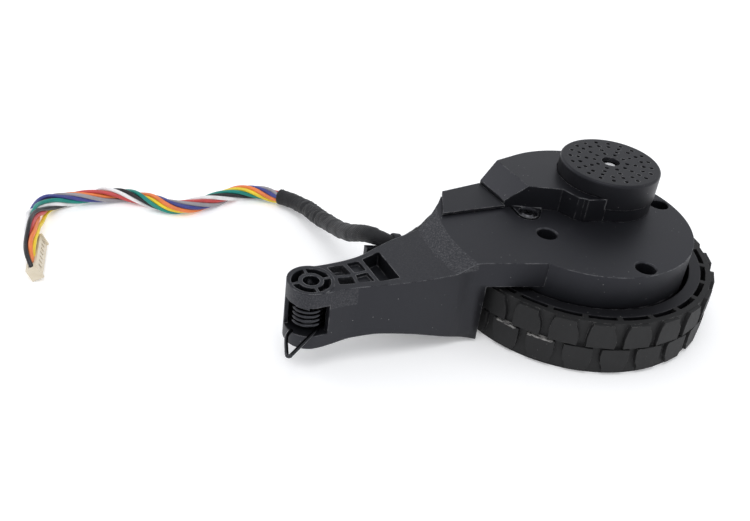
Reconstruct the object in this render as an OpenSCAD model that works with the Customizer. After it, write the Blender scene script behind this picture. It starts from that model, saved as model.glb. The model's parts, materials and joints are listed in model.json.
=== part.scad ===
// Drive wheel module of a robot vacuum: a swing arm with a brushless motor, a three stage gear
// train and a lugged tyre. It lies on the tyre's outer face, wheel axis upright.
// The origin is on the pivot axis, at the lower face of the lower pivot ear. +X points to the wheel.

/* [Swing arm] */
// Distance from the pivot axis to the wheel axis
arm_l = 86.8; // [84:0.2:90]
// Height of the lower ear's face above the tyre's outer face
ear_rise = 7; // [6.6:0.1:7.6]
// Height of the arm's top face above the tyre's outer face
arm_h = 23.7; // [23:0.1:24.2]
// Rise of the deck above the arm's top
deck_rise = 2.1; // [1.8:0.1:2.6]
// Length of the ramp between the arm's top and the deck
ramp_len = 6; // [5:0.1:7]
// Gap between the tyre and the fender above it
well_gap = 1.85; // [1.5:0.05:2.4]
// Gap between the lugs and the wall of the wheel well
well_side_gap = 3.5; // [3:0.1:4.2]
// Depth of the deep core-out pocket in the arm's top
deep_pocket_d = 6; // [4:0.5:8]
// Depth of the middle core-out pocket
middle_pocket_d = 2.2; // [1.5:0.1:4]
// Depth of the two shallow core-out pockets
shallow_pocket_d = 1.1; // [0.8:0.1:2]
// Depth of the large core-out pocket
big_pocket_d = 4.2; // [3:0.2:6]

/* [Pivot] */
// Radius of the pivot bore
bore_r = 2.1; // [1.8:0.05:2.3]
// Outer radius of the pivot boss
boss_r = 5.9; // [5.6:0.05:6.2]
// How far the boss is drawn out to the far side
boss_shift = 0.5; // [0.3:0.05:0.8]
// Thickness of the upper ear
ear_top_t = 4.1; // [3.5:0.1:5]
// Rise of the boss above the arm's top
boss_rise = 0.2; // [0.1:0.05:0.4]
// Thickness of the lower ear
ear_low_t = 3.9; // [3.6:0.1:4.2]
// Wall of the tube round the bore in the upper ear
bore_wall = 1.1; // [0.8:0.05:1.3]
// Wall between the ring recess and the boss's outside
boss_wall = 0.9; // [0.6:0.05:1.2]
// Depth of the ring recess in the upper ear
recess_d = 3; // [1.5:0.1:3.2]
// Thickness of the guard wall behind the spring
guard_t = 1; // [0.8:0.05:1.4]

/* [Torsion spring] */
// Wire diameter
wire_d = 1; // [0.8:0.05:1.1]
// Mean radius of the coil
coil_r = 3.9; // [3.6:0.05:4.1]
// Gap between the coil and each ear
coil_gap = 0.3; // [0.2:0.05:0.5]
// Rise of each turn
coil_pitch = 1.37; // [1.2:0.01:1.4]

/* [Gear case] */
// Gap between the gears' tips and the wall of the gear case
gear_gap = 2.1; // [1.8:0.05:2.5]
// Wall of the gear case
case_wall = 1.8; // [1.4:0.1:2.2]
// Thickness of the deck plate over the gears
deck_t = 1.5; // [1.2:0.1:2]
// Height of the joint between the two halves above the tyre's outer face
split_h = 15.6; // [15:0.1:16]
// Height of the gear case's outer face above the tyre's outer face
case_low_h = 4.3; // [4:0.1:4.4]
// Radius of a screw well
screw_well_r = 2.8; // [2.6:0.1:3]
// Wall of a screw well
screw_well_wall = 0.8; // [0.6:0.05:1]
// Radius of a case screw's head
screw_head_r = 2; // [1.8:0.05:2.2]
// Height of a case screw's head
screw_head_h = 1.5; // [1.2:0.1:1.8]
// Length of a case screw's shank
screw_l = 8; // [6:0.5:8.5]

/* [Wheel] */
// Gap between the gear case and the hub's rim ring
rim_gap = 1.3; // [1:0.05:1.6]
// Thickness of the tyre over the rim ring, without its lugs
tyre_t = 2.9; // [2.7:0.05:3.4]
// Width of the tyre
tyre_w = 16.45; // [16:0.05:17]
// Height of a lug
lug_h = 1; // [0.6:0.05:1.4]
// Gap between two lugs of a row, at the line between the rows
lug_gap = 2.2; // [1.8:0.1:3]
// Height of the line between the two rows above the tyre's outer face
row_line_h = 8.7; // [8:0.1:9]
// Lugs in each of the two rows
lug_count = 24; // [18:1:26]
// Slots in the tyre's side
slot_count = 24; // [18:1:28]
// Depth of a slot
slot_d = 6; // [3:0.5:10]
// Radial width of a slot
slot_w = 1.4; // [1:0.05:1.6]
// Thickness of a rib between slots
slot_rib = 1.5; // [1:0.1:2.5]
// Radial thickness of the rim ring
rim_t = 3.2; // [2.8:0.05:3.5]
// Thickness of the hub's disc
disc_t = 1.8; // [1.4:0.1:2]

/* [Gear train] */
// Pressure angle of all gears
press_a = 25; // [24:0.5:26]
// Module of the motor stage and the middle stage
fine_m = 0.5; // [0.48:0.01:0.51]
// Module of the wheel stage
coarse_m = 0.7; // [0.68:0.01:0.72]
// Teeth of the motor pinion
pinion_n = 10; // [10:1:10]
// Teeth of the large gear of stage one
stage1_n = 40; // [40:1:40]
// Teeth of the small gears of both stages
small_n = 12; // [12:1:12]
// Teeth of the large gear of stage two and of the output gear
large_n = 36; // [36:1:36]
// Thinning of every tooth at its pitch circle
lash = 0.06; // [0.04:0.01:0.1]
// Radius of the gear axles
axle_r = 0.9; // [0.7:0.05:0.95]
// Radius of the output shaft
shaft_r = 2.5; // [2:0.1:2.7]

/* [Motor] */
// Distance of the motor axis from the wheel axis, away from the pivot
motor_x = 11.8; // [11.4:0.1:12.2]
// Distance of the motor axis from the wheel axis, across the arm
motor_y = 8.2; // [7.8:0.1:8.6]
// Gap between the rotor bell and the ring under the cap
bell_gap = 0.7; // [0.5:0.05:1]
// Radius of the motor shaft
motor_shaft_r = 1.5; // [1.3:0.05:1.5]
// Air gap between stator and magnets
air_gap = 0.35; // [0.3:0.05:0.5]
// Radial thickness of the magnets
magnet_t = 0.9; // [0.7:0.05:1]
// Stator teeth
stator_n = 9; // [9:3:12]
// Magnet poles
pole_n = 12; // [10:2:14]

/* [Covers] */
// Rise of the motor cover's flat above the deck
plateau_rise = 7.2; // [6.8:0.1:7.8]
// Outer radius of the motor cap
cap_r = 14.6; // [14.4:0.05:14.8]
// Rise of the cap's top above the motor cover's flat
cap_rise = 4.6; // [4.4:0.1:5.2]
// Height of the cap from its lower edge to its top
cap_skirt_h = 7.85; // [7.4:0.05:8.2]
// Thickness of the cap's top
cap_t = 1.3; // [1:0.05:1.4]
// Radius of the vent holes
vent_r = 0.62; // [0.4:0.02:0.7]
// Radius of the hole over the motor shaft
cap_hole_r = 2.65; // [2.2:0.05:2.9]
// Thickness of the cable cover
flap_t = 1; // [0.8:0.1:1.4]

/* [Harness] */
// Diameter of the taped sleeve
sleeve_d = 5; // [4.6:0.1:5.1]
// Diameter of the twisted wires together
bundle_d = 4.6; // [4:0.1:4.8]
// Positions of the connector
pin_n = 8; // [6:1:9]
// Distance from one position to the next
pin_pitch = 2; // [1.5:0.25:2]

/* [Hidden] */

$fn = 64;
eps = 0.01;
run_gap = 0.05;
round_fn = 96;

// Gear train: pitch radii and centre distance of the wheel stage
addendum_k = 0.8;
dedendum_k = 1.05;
pinion_pr = fine_m * pinion_n / 2;
stage1_pr = fine_m * stage1_n / 2;
small_fine_pr = fine_m * small_n / 2;
large_fine_pr = fine_m * large_n / 2;
small_coarse_pr = coarse_m * small_n / 2;
output_pr = coarse_m * large_n / 2;
stage2_d = output_pr + small_coarse_pr;

// Radii about the wheel axis, from the gears outwards
case_in_r = stage2_d + large_fine_pr + addendum_k * fine_m + gear_gap;
case_r = case_in_r + case_wall;
rim_in_r = case_r + rim_gap;
rim_r = rim_in_r + rim_t;
tyre_r = rim_r + tyre_t;
well_r = tyre_r + lug_h + well_side_gap;
ramp_r = well_r + 2.6;

// Levels, from the origin at the lower ear's face
floor_z = -ear_rise;
arm_z = floor_z + arm_h;
deck_z = arm_z + deck_rise;
rim_z = floor_z + tyre_w;
well_z = rim_z + well_gap;
split_z = floor_z + split_h;
case_low_z = floor_z + case_low_h;
plateau_z = deck_z + plateau_rise;
cap_z = plateau_z + cap_rise;
cap_low_z = cap_z - cap_skirt_h;
window_top_z = arm_z - ear_top_t;

// Levels of the gears and bearings in the case
bearing_w = 3;
low_bearing_z = case_low_z + 0.5;
boss_top_z = low_bearing_z + bearing_w + 0.3;
output_z = boss_top_z + 0.3;
output_t = 4;
stage2_z = output_z + output_t + 0.5;
stage2_t = 2.4;
stage1_z = stage2_z + stage2_t + 0.6;
stage1_t = 2.1;
stage_top_z = stage1_z + stage1_t + 0.5;
top_bearing_z = stage_top_z + 0.8;

// Places in plan
wheel = [arm_l, 0];
motor = wheel + [motor_x, motor_y];
tab_at = wheel + [-16, 7];
well_edge_gap = 0.75;
screw_r_out = case_r - screw_well_r - well_edge_gap;
screw_at = [wheel + [-17.1, -3.6], wheel + screw_r_out * [cos(-93), sin(-93)],
    wheel + screw_r_out * [cos(-2), sin(-2)]];

// The two gear axles
stage2_a = 127.5;
stage2 = wheel + stage2_d * [cos(stage2_a), sin(stage2_a)];
stage1 = meet(stage2, small_fine_pr + large_fine_pr, motor, pinion_pr + stage1_pr);

// Where the circle about p with radius a meets the circle about q with radius b, on the left of p to q
function meet(p, a, q, b) =
    let (d = norm(q - p), u = (q - p) / d, k = (d * d + a * a - b * b) / (2 * d))
    p + k * u + sqrt(a * a - k * k) * [-u[1], u[0]];
function heading(p, q) = atan2(q[1] - p[1], q[0] - p[0]);

// A smooth curve through a list of points, with n pieces between each two
function smooth_at(a, b, c, d, t) =
    0.5 * (2 * b + (c - a) * t + (2 * a - 5 * b + 4 * c - d) * t * t + (3 * b - a - 3 * c + d) * t * t * t);
function smooth(p, n) = let (e = len(p) - 1) concat(
    [for (i = [0:e - 1]) for (k = [0:n - 1])
        smooth_at(p[max(i - 1, 0)], p[i], p[i + 1], p[min(i + 2, e)], k / n)],
    [p[e]]);

// Outline of the arm in plan, near wall then far wall, from the pivot to the wheel well
near_wall = [[0, -boss_r], [8.2, -boss_r - 0.2], [14.2, -7.2], [25.1, -9], [arm_l - 50.4, -9.8],
    [arm_l - 45.5, -9.8], [arm_l - 42.5, -10.3], [arm_l - 39, -11.4]];
deck_corner = [arm_l - 25.8, -16];
far_wall = [[arm_l - 33.2, 25.5], [arm_l - 35.6, 22.7], [arm_l - 38.5, 19.6], [arm_l - 42.3, 16.4],
    [arm_l - 45.8, 14], [arm_l - 49.3, 12.4], [arm_l - 53.4, 11.3], [arm_l - 58.7, 10.1], [22, 8], [16.7, 6.1],
    [12, 5.45], [8, 5.4], [4, 5.6], [0, boss_r + boss_shift]];
// Underside of the arm, seen from the side
belly = [[-boss_r - 2, 0], [2, 0], [9.5, 1], [15.5, 1.4], [21.3, 0.7], [arm_l - 59.1, -0.7],
    [arm_l - 49.8, -3.6], [arm_l - 40.2, floor_z + 0.7]];
ramp_at = wheel + [0, -2];

// Pockets in the arm's top, each by its depth and its four corners
pocket_list = [[middle_pocket_d, [[6.4, 4.1], [10.7, 3.8], [10.9, -0.6], [6.8, 0.1]]],
    [shallow_pocket_d, [[11.8, 4], [15.2, 4], [15.3, -0.2], [11.9, -0.4]]],
    [deep_pocket_d, [[6.7, -1], [10.6, -1.5], [10.2, -4.6], [6.1, -3.6]]],
    [shallow_pocket_d, [[11.7, -1.3], [15.1, -1.1], [15.2, -5.1], [11, -4.6]]],
    [big_pocket_d, [[16.5, 4.4], [22.4, 6.2], [21.9, -6.1], [16.2, -5.7]]]];
pocket_round = 0.35;

module arm_plan() {
    polygon(concat(smooth(near_wall, 4), [deck_corner, wheel + [0, -16], wheel + [0, 25.5]],
        smooth(far_wall, 5), [[0, 0]]));
}

// The block between the lower ear's plane, the arched belly, the arm's top and the ramp, which is
// part of a cone about the wheel
module side_block() {
    far = 60;
    slope = ramp_len / deck_rise;
    difference() {
        translate([0, far / 2, 0])
            rotate([90, 0, 0])
                linear_extrude(far)
                    polygon(concat(smooth(belly, 4), [[arm_l, floor_z + 0.7], [arm_l, deck_z],
                        [-boss_r - 2, deck_z]]));
        difference() {
            translate([-far, -far, arm_z])
                cube([far + arm_l - 20, 2 * far, 20]);
            translate([ramp_at[0], ramp_at[1], arm_z - 1])
                cylinder(r1 = ramp_r + ramp_len + slope, r2 = ramp_r - slope, h = deck_rise + 2, $fn = round_fn);
        }
    }
}

module boss_plan(inset) {
    hull() {
        circle(r = boss_r - inset);
        translate([0, boss_shift])
            circle(r = boss_r - inset);
    }
}

module pivot_boss() {
    linear_extrude(arm_z + boss_rise)
        boss_plan(0);
}

module ring_recess() {
    spoke_t = 0.7;
    out_r = boss_r - boss_wall;
    in_r = bore_r + bore_wall;
    translate([0, 0, arm_z - recess_d])
        difference() {
            cylinder(r = out_r, h = recess_d + 1);
            translate([0, 0, -eps])
                cylinder(r = in_r, h = recess_d + 2);
            for (a = [86:90:359])
                rotate([0, 0, a])
                    translate([0, -spoke_t / 2, -eps])
                        cube([boss_r, spoke_t, recess_d + 2]);
        }
}

// The open window in which the spring sits; a guard wall stays behind it
module spring_window() {
    jamb_x = 2.8;
    guard_end = 162;
    translate([0, 0, ear_low_t])
        linear_extrude(window_top_z - ear_low_t)
            union() {
                boss_plan(guard_t);
                polygon([[0, 0], 20 * [cos(guard_end), sin(guard_end)], [-20, -20], [jamb_x, -20], [jamb_x, 0]]);
            }
}

// A hook behind the arm that holds the sleeve
clip_x = 25.4;
clip_w = 6;
clip_t = 1.6;
clip_y = 17;
module cable_clip() {
    translate([clip_x, 6, 4.4])
        cube([clip_w, clip_y + clip_t - 6, clip_t]);
    translate([clip_x, clip_y + clip_t, 0])
        rotate([90, 0, 0])
            linear_extrude(clip_t)
                polygon([[0, 4.4], [clip_w, 4.4], [clip_w, 8.9], [0, 10.4]]);
}

// The trough under the cable cover that leads the harness to the motor
duct_w = 6.4;
duct_floor_z = deck_z - sleeve_d - 0.6;
module cable_duct() {
    translate([0, 0, duct_floor_z])
        linear_extrude(deck_z - duct_floor_z + 1)
            polygon([[arm_l - 17, 16.3], [arm_l - 28, 16.3], [arm_l - 37.6, 15.2], [arm_l - 35.1, 20.5],
                [arm_l - 35.6, 32], [arm_l - 32.5, 32], [arm_l - 27, 17.1 + duct_w], [arm_l - 17, 16.3 + duct_w]]);
}

// The slot in the arm's far wall, up which the harness rises to the trough
slot_in_y = 13.8;
module cable_slot() {
    far = 40;
    translate([0, far, 0])
        rotate([90, 0, 0])
            linear_extrude(far - slot_in_y)
                polygon([[arm_l - 50.8, 6.9], [arm_l - 46.8, 7.6], [arm_l - 42.8, 9.5], [arm_l - 38.8, 12.2],
                    [arm_l - 32.8, 12.9], [arm_l - 32.8, deck_z - 0.9], [arm_l - 38.8, deck_z - 1],
                    [arm_l - 42.8, 15.6], [arm_l - 46.8, 13.5], [arm_l - 50.8, 13]]);
}

// Bosses that hang from the deck: the upper wheel bearing's seat and the axles' upper ends
bearing_r = 2 * shaft_r;
seat_wall = 1.3;
tab_boss_h = 4.3;
axle_boss_r = 2.5;
module deck_bosses() {
    translate([wheel[0], wheel[1], top_bearing_z - 0.3])
        cylinder(r = bearing_r + seat_wall, h = deck_z - deck_t - top_bearing_z + 0.5);
    for (p = [stage1, stage2])
        translate([p[0], p[1], stage_top_z + 0.2])
            cylinder(r = axle_boss_r, h = deck_z - deck_t - stage_top_z);
    translate([tab_at[0], tab_at[1], deck_z - deck_t - tab_boss_h])
        cylinder(r = 4.6, h = tab_boss_h + 0.2);
}

well_floor_t = 1;
module screw_wells() {
    intersection() {
        union()
            for (p = screw_at)
                translate([p[0], p[1], split_z])
                    cylinder(r = screw_well_r + screw_well_wall, h = deck_z - split_z - 0.5);
        translate([wheel[0], wheel[1], split_z])
            cylinder(r = case_r - 0.3, h = deck_z - split_z, $fn = round_fn);
    }
}

screw_shank_r = 0.95;
module screw_well_bores() {
    for (p = screw_at)
        translate([p[0], p[1], 0]) {
            translate([0, 0, split_z + well_floor_t])
                cylinder(r = screw_well_r, h = deck_z);
            translate([0, 0, split_z - 1])
                cylinder(r = screw_shank_r + 0.15, h = deck_z);
            translate([0, 0, deck_z - 0.3])
                cylinder(r1 = screw_well_r, r2 = screw_well_r + 0.35, h = 0.35);
        }
}

module tab_recess(grow) {
    tab_r = 3.1;
    linear_extrude(5)
        union() {
            translate(tab_at)
                circle(r = tab_r + grow);
            polygon([tab_at + [-tab_r - grow + 0.5, 4.6 + grow], tab_at + [-tab_r - grow, 0],
                tab_at + [tab_r * 0.8 + grow, -tab_r * 0.6], tab_at + [tab_r + grow + 2.6, 1.2],
                tab_at + [tab_r + grow + 2.6, 2 + grow]]);
        }
}

tab_sink = 1.2;
module arm_case() {
    color("#3b3d41")
        difference() {
            union() {
                difference() {
                    intersection() {
                        linear_extrude(60, center = true)
                            arm_plan();
                        side_block();
                    }
                    translate([wheel[0], wheel[1], floor_z - 1])
                        cylinder(r = well_r, h = well_z - floor_z + 1, $fn = round_fn);
                }
                pivot_boss();
                translate([wheel[0], wheel[1], split_z])
                    cylinder(r = case_r, h = deck_z - split_z, $fn = round_fn);
                cable_clip();
            }
            spring_window();
            translate([0, 0, -1])
                cylinder(r = bore_r, h = arm_z + 2);
            ring_recess();
            for (p = pocket_list)
                translate([0, 0, arm_z - p[0]])
                    linear_extrude(p[0] + 1)
                        offset(r = pocket_round, $fn = 16)
                            offset(delta = -pocket_round)
                                polygon(p[1]);
            difference() {
                translate([wheel[0], wheel[1], split_z - 1])
                    cylinder(r = case_in_r, h = deck_z - deck_t - split_z + 1, $fn = round_fn);
                deck_bosses();
                screw_wells();
            }
            translate([wheel[0], wheel[1], top_bearing_z - 1])
                cylinder(r = bearing_r, h = bearing_w + 1);
            translate([wheel[0], wheel[1], top_bearing_z])
                cylinder(r = shaft_r + 0.4, h = bearing_w + 1);
            for (p = [stage1, stage2])
                translate([p[0], p[1], stage_top_z])
                    cylinder(r = axle_r, h = 4);
            translate([motor[0], motor[1], 0])
                cylinder(r = tube_r + 0.1, h = 30);
            screw_well_bores();
            cable_duct();
            cable_slot();
            translate([0, 0, deck_z - tab_sink])
                tab_recess(0.3);
            translate([tab_at[0], tab_at[1], deck_z - tab_sink - 4])
                cylinder(r = 0.7, h = 6, $fn = 24);
        }
}

floor_t = 1.5;
pilot_r = screw_shank_r - 0.1;
module gear_case_cover() {
    color("#2b2c2f")
        difference() {
            union() {
                difference() {
                    translate([wheel[0], wheel[1], case_low_z])
                        cylinder(r = case_r, h = split_z - case_low_z, $fn = round_fn);
                    translate([wheel[0], wheel[1], case_low_z + floor_t])
                        cylinder(r = case_in_r, h = split_z - case_low_z, $fn = round_fn);
                }
                translate([wheel[0], wheel[1], case_low_z])
                    cylinder(r = bearing_r + seat_wall, h = boss_top_z - case_low_z);
                translate([stage2[0], stage2[1], case_low_z])
                    cylinder(r = axle_boss_r, h = output_z - 0.4 - case_low_z);
                translate([stage1[0], stage1[1], case_low_z])
                    cylinder(r = axle_r + 0.9, h = stage2_z - 0.4 - case_low_z);
                for (p = screw_at)
                    translate([p[0], p[1], case_low_z])
                        cylinder(r = screw_shank_r + 1.5, h = split_z - case_low_z);
            }
            translate([wheel[0], wheel[1], low_bearing_z])
                cylinder(r = bearing_r, h = bearing_w + 4);
            translate([wheel[0], wheel[1], case_low_z - 1])
                cylinder(r = shaft_r + 0.6, h = 6);
            for (p = [stage1, stage2])
                translate([p[0], p[1], case_low_z + 0.8])
                    cylinder(r = axle_r, h = 20);
            for (p = screw_at)
                translate([p[0], p[1], split_z - screw_l])
                    cylinder(r = pilot_r, h = screw_l + 2);
        }
}

// Motor cover: the faceted plateau, and the ring that carries the cap
ring_r = cap_r - 0.3;
spigot_r = cap_r - 1.3;
ring_in_r = spigot_r - 0.4;
plateau_wall = 1.5;
plateau_edge_x = arm_l - 20.8;
plateau_slope = 5.4;
plateau_drop = 5.25;
plateau_far_y = 24.9;
plateau_arc_r = 27.9;
plateau_arc_at = wheel + [-3.2, -0.4];
module plateau_plan(inset) {
    k = [0.4 * inset, inset];
    intersection() {
        hull() {
            translate(plateau_arc_at)
                circle(r = plateau_arc_r - inset, $fn = round_fn);
            translate([plateau_edge_x, plateau_far_y - 5])
                square([1, 5 - inset]);
        }
        polygon([[plateau_edge_x + inset, 12.6 + inset], [arm_l - 6.6, 5.5] + k, [arm_l - 5, 0.1] + k,
            [arm_l - 3.6, -0.8] + k, [arm_l - 3, -1.9] + k, [arm_l + 2.7, -3.3] + k, motor, motor + [2, 16],
            motor + [-4, 30], [plateau_edge_x + inset, 40]]);
    }
}

module plateau_solid(inset) {
    low = 0.01 - inset;
    top = plateau_z - inset;
    intersection() {
        translate([0, 0, deck_z + min(low, 0)])
            linear_extrude(20)
                plateau_plan(inset);
        translate([0, 60, 0])
            rotate([90, 0, 0])
                linear_extrude(120)
                    polygon([[0, deck_z - inset], [0, top - plateau_drop], [plateau_edge_x, top - plateau_drop],
                        [plateau_edge_x + plateau_slope, top], [arm_l + 60, top], [arm_l + 60, deck_z - inset]]);
    }
}

cover_z = deck_z;
tab_floor_t = 0.6;
module motor_cover() {
    color("#222326")
        difference() {
            union() {
                plateau_solid(0);
                translate([motor[0], motor[1], cover_z])
                    cylinder(r = ring_r, h = cap_low_z - cover_z, $fn = round_fn);
                translate([motor[0], motor[1], cover_z])
                    cylinder(r = spigot_r, h = plateau_z + 0.5 - cover_z, $fn = round_fn);
                translate([0, 0, deck_z - tab_sink])
                    intersection() {
                        tab_recess(0);
                        linear_extrude(tab_sink + 0.5)
                            translate(tab_at - [10, 10])
                                square(20);
                    }
            }
            difference() {
                plateau_solid(plateau_wall);
                translate([motor[0], motor[1], 0])
                    cylinder(r = cap_r + 1.4, h = 60, $fn = round_fn);
            }
            difference() {
                translate([motor[0], motor[1], cap_low_z])
                    cylinder(r = cap_r + 0.15, h = 20, $fn = round_fn);
                translate([motor[0], motor[1], cap_low_z - 1])
                    cylinder(r = spigot_r, h = 30, $fn = round_fn);
            }
            translate([motor[0], motor[1], cover_z - 1])
                cylinder(r = ring_in_r, h = 30, $fn = round_fn);
            translate([motor[0], motor[1], cover_z - 1])
                rotate([0, 0, 142])
                    translate([0, -3, 0])
                        cube([20, 6, 3]);
            translate([tab_at[0], tab_at[1], 0])
                cylinder(r = screw_shank_r + 0.15, h = 40, $fn = 24);
            translate([tab_at[0], tab_at[1], deck_z - tab_sink + tab_floor_t])
                cylinder(r1 = 2.3, r2 = 2.8, h = 1.2);
        }
}

// Motor cap: four rings of vents round the hole over the shaft
vent_rings = [[4.75, 10], [7.1, 10], [9.5, 20], [11.8, 20]];
cap_in_r = spigot_r + 0.1;
cap_round = 0.7;
module motor_cap() {
    color("#1e1f22")
        translate([motor[0], motor[1], 0])
            difference() {
                rotate_extrude($fn = round_fn)
                    polygon(concat([[cap_in_r, cap_low_z], [cap_r, cap_low_z]],
                        [for (a = [0:18:90]) [cap_r - cap_round + cap_round * cos(a),
                            cap_z - cap_round + cap_round * sin(a)]],
                        [[cap_hole_r, cap_z], [cap_hole_r, cap_z - cap_t], [cap_in_r, cap_z - cap_t]]));
                for (ring = vent_rings)
                    for (k = [0:ring[1] - 1])
                        rotate([0, 0, 360 * k / ring[1]])
                            translate([ring[0], 0, cap_z - cap_t - 1])
                                cylinder(r = vent_r, h = cap_t + 2, $fn = 16);
            }
}

module cable_cover() {
    lip = 0.15;
    color("#35373a")
        translate([0, 0, deck_z])
            difference() {
                linear_extrude(flap_t)
                    polygon([[arm_l - 40.6, 13.5], [plateau_edge_x - lip, 11.7], [plateau_edge_x - lip, 24.9],
                        [arm_l - 34.4, 24]]);
                translate([0, 0, -eps])
                    linear_extrude(0.25)
                        polygon([[arm_l - 42, 13], [plateau_edge_x + 1, 11.2], [plateau_edge_x + 1, 12.6],
                            [arm_l - 42, 14.4]]);
            }
}

module pan_screw(head_r, head_h, shank_r, shank_l) {
    difference() {
        union() {
            cylinder(r = head_r, h = head_h * 0.55, $fn = 32);
            translate([0, 0, head_h * 0.55 - eps])
                cylinder(r1 = head_r, r2 = head_r * 0.72, h = head_h * 0.45, $fn = 32);
            translate([0, 0, -shank_l])
                cylinder(r = shank_r, h = shank_l + eps, $fn = 24);
        }
        for (a = [0, 90])
            rotate([0, 0, a])
                translate([-head_r * 0.62, -0.25, head_h * 0.35])
                    cube([head_r * 1.24, 0.5, head_h]);
    }
}

module cover_screw() {
    color("#4a4b4e")
        translate([tab_at[0], tab_at[1], deck_z - tab_sink + tab_floor_t])
            pan_screw(2.1, 1, 0.7, 4);
}

module case_screws() {
    color("#56575a")
        for (p = screw_at)
            translate([p[0], p[1], split_z + well_floor_t])
                pan_screw(screw_head_r, screw_head_h, pilot_r, screw_l);
}

// A round wire or cord along a path, as one closed surface
function unit(v) = v / max(norm(v), 0.000001);
function lead(p, i) = unit(p[min(i + 1, len(p) - 1)] - p[max(i - 1, 0)]);
function across(t) = unit(abs(t[2]) < 0.9 ? cross([0, 0, 1], t) : cross([1, 0, 0], t));
module tube(p, radii, sides) {
    n = len(p);
    points = [for (i = [0:n - 1]) let (t = lead(p, i), u = across(t), v = cross(t, u))
        for (k = [0:sides - 1]) p[i] + radii[i] * (cos(360 * k / sides) * u + sin(360 * k / sides) * v)];
    faces = concat([[for (k = [0:sides - 1]) k]],
        [for (i = [0:n - 2]) for (k = [0:sides - 1]) let (a = i * sides + k, b = i * sides + (k + 1) % sides)
            [a, a + sides, b + sides, b]],
        [[for (k = [sides - 1:-1:0]) (n - 1) * sides + k]]);
    polyhedron(points = points, faces = faces, convexity = 8);
}

// Torsion spring: the coil runs down clockwise to the leg, which bends about the pivot axis and
// is parted from the coil behind the pivot
leg_a = -56;
leg_z = ear_low_t + wire_d / 2 + coil_gap;
wire_sides = 8;
turn_steps = 18;
leg_turns = 0.3;
part_gap = 0.05;
coil_turns = (window_top_z - coil_gap - wire_d / 2 - leg_z) / coil_pitch - leg_turns - part_gap - 0.4;
function coil_point(turn) = let (a = leg_a + 360 * turn)
    [coil_r * cos(a), coil_r * sin(a), leg_z + coil_pitch * turn];
module spring_coil() {
    steps = round(coil_turns * turn_steps);
    first = leg_turns + part_gap;
    tail = coil_point(first + coil_turns);
    tail_a = leg_a + 360 * (first + coil_turns);
    path = concat([for (i = [0:steps]) coil_point(first + coil_turns * i / steps)],
        [tail + 1.6 * [-sin(tail_a), cos(tail_a), 0]]);
    color("#55575c")
        tube(path, [for (p = path) wire_d / 2], wire_sides);
}

hook = [[-8.6, -10.6], [-10.1, -11.5], [-10.5, -10.9], [-9.8, -9], [-8.5, -5.9], [-7.4, -4], [-5.6, -2.5]];
module spring_leg() {
    turn = [for (i = [6:-1:0]) coil_point(leg_turns * i / 6)];
    path = concat(turn, [for (p = hook) [p[0], p[1], leg_z]]);
    color("#55575c")
        tube(path, [for (p = path) wire_d / 2], wire_sides);
}

// One lug, drawn flat: its foot on the line between the rows, its flanks bending back to the shoulder
lug_w = 2 * PI * tyre_r / lug_count - lug_gap;
row_gap = 0.5;
top_row_w = tyre_w - row_line_h - row_gap / 2 - 0.2;
low_row_w = row_line_h - row_gap / 2 - 1.2;
module lug(row_w) {
    half = lug_w / 2;
    translate([tyre_r - 0.4, 0, 0])
        rotate([90, 0, 90])
            linear_extrude(lug_h + 0.4)
                polygon([[-half, 0], [half, 0], [half + 0.1, row_w * 0.3], [half - 0.3, row_w * 0.6],
                    [half - 1.1, row_w * 0.8], [half - 1.5, row_w], [0.7 - half, row_w],
                    [0.1 - half, row_w * 0.8], [-half - 0.2, row_w * 0.45]]);
}

module tyre() {
    line_z = floor_z + row_line_h;
    color("#26272a")
        translate([wheel[0], wheel[1], 0])
            difference() {
                union() {
                    translate([0, 0, floor_z])
                        cylinder(r = tyre_r, h = tyre_w, $fn = round_fn);
                    for (k = [0:lug_count - 1]) {
                        rotate([0, 0, 360 * (k + 0.13) / lug_count])
                            translate([0, 0, line_z + row_gap / 2])
                                lug(top_row_w);
                        rotate([0, 0, 360 * (k - 0.41) / lug_count])
                            translate([0, 0, line_z - row_gap / 2])
                                rotate([180, 0, 0])
                                    lug(low_row_w);
                    }
                }
                translate([0, 0, floor_z - 1])
                    cylinder(r = rim_r, h = tyre_w + 2, $fn = round_fn);
                translate([0, 0, rim_z - slot_d])
                    difference() {
                        cylinder(r = rim_r + slot_w, h = slot_d + 1, $fn = round_fn);
                        for (k = [0:slot_count - 1])
                            rotate([0, 0, 360 * (k + 0.5) / slot_count - 148.5])
                                translate([rim_r - 2, -slot_rib / 2, -1])
                                    cube([slot_w + 3, slot_rib, slot_d + 3]);
                    }
            }
}

disc_z = floor_z + 0.8;
hub_boss_r = 6;
hub_top_z = case_low_z - 0.4;
hub_seat_d = 0.9;
module wheel_hub() {
    color("#232427")
        translate([wheel[0], wheel[1], 0])
            difference() {
                union() {
                    translate([0, 0, floor_z + 0.4])
                        difference() {
                            cylinder(r = rim_r, h = tyre_w - 0.4, $fn = round_fn);
                            translate([0, 0, -1])
                                cylinder(r = rim_in_r, h = tyre_w + 2, $fn = round_fn);
                        }
                    translate([0, 0, disc_z])
                        difference() {
                            cylinder(r = rim_in_r + 1, h = disc_t, $fn = round_fn);
                            for (k = [0:5])
                                rotate([0, 0, 60 * k])
                                    translate([20, 0, -1])
                                        cylinder(r = 4.6, h = disc_t + 2, $fn = 48);
                        }
                    translate([0, 0, disc_z])
                        cylinder(r = hub_boss_r, h = hub_top_z - disc_z);
                }
                translate([0, 0, disc_z - 1])
                    cylinder(r = 4.2, h = hub_seat_d + 1);
                translate([0, 0, disc_z - 1])
                    difference() {
                        cylinder(r = shaft_r, h = 10);
                        translate([shaft_r * 0.72, -5, -1])
                            cube([10, 10, 20]);
                    }
            }
}

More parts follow.
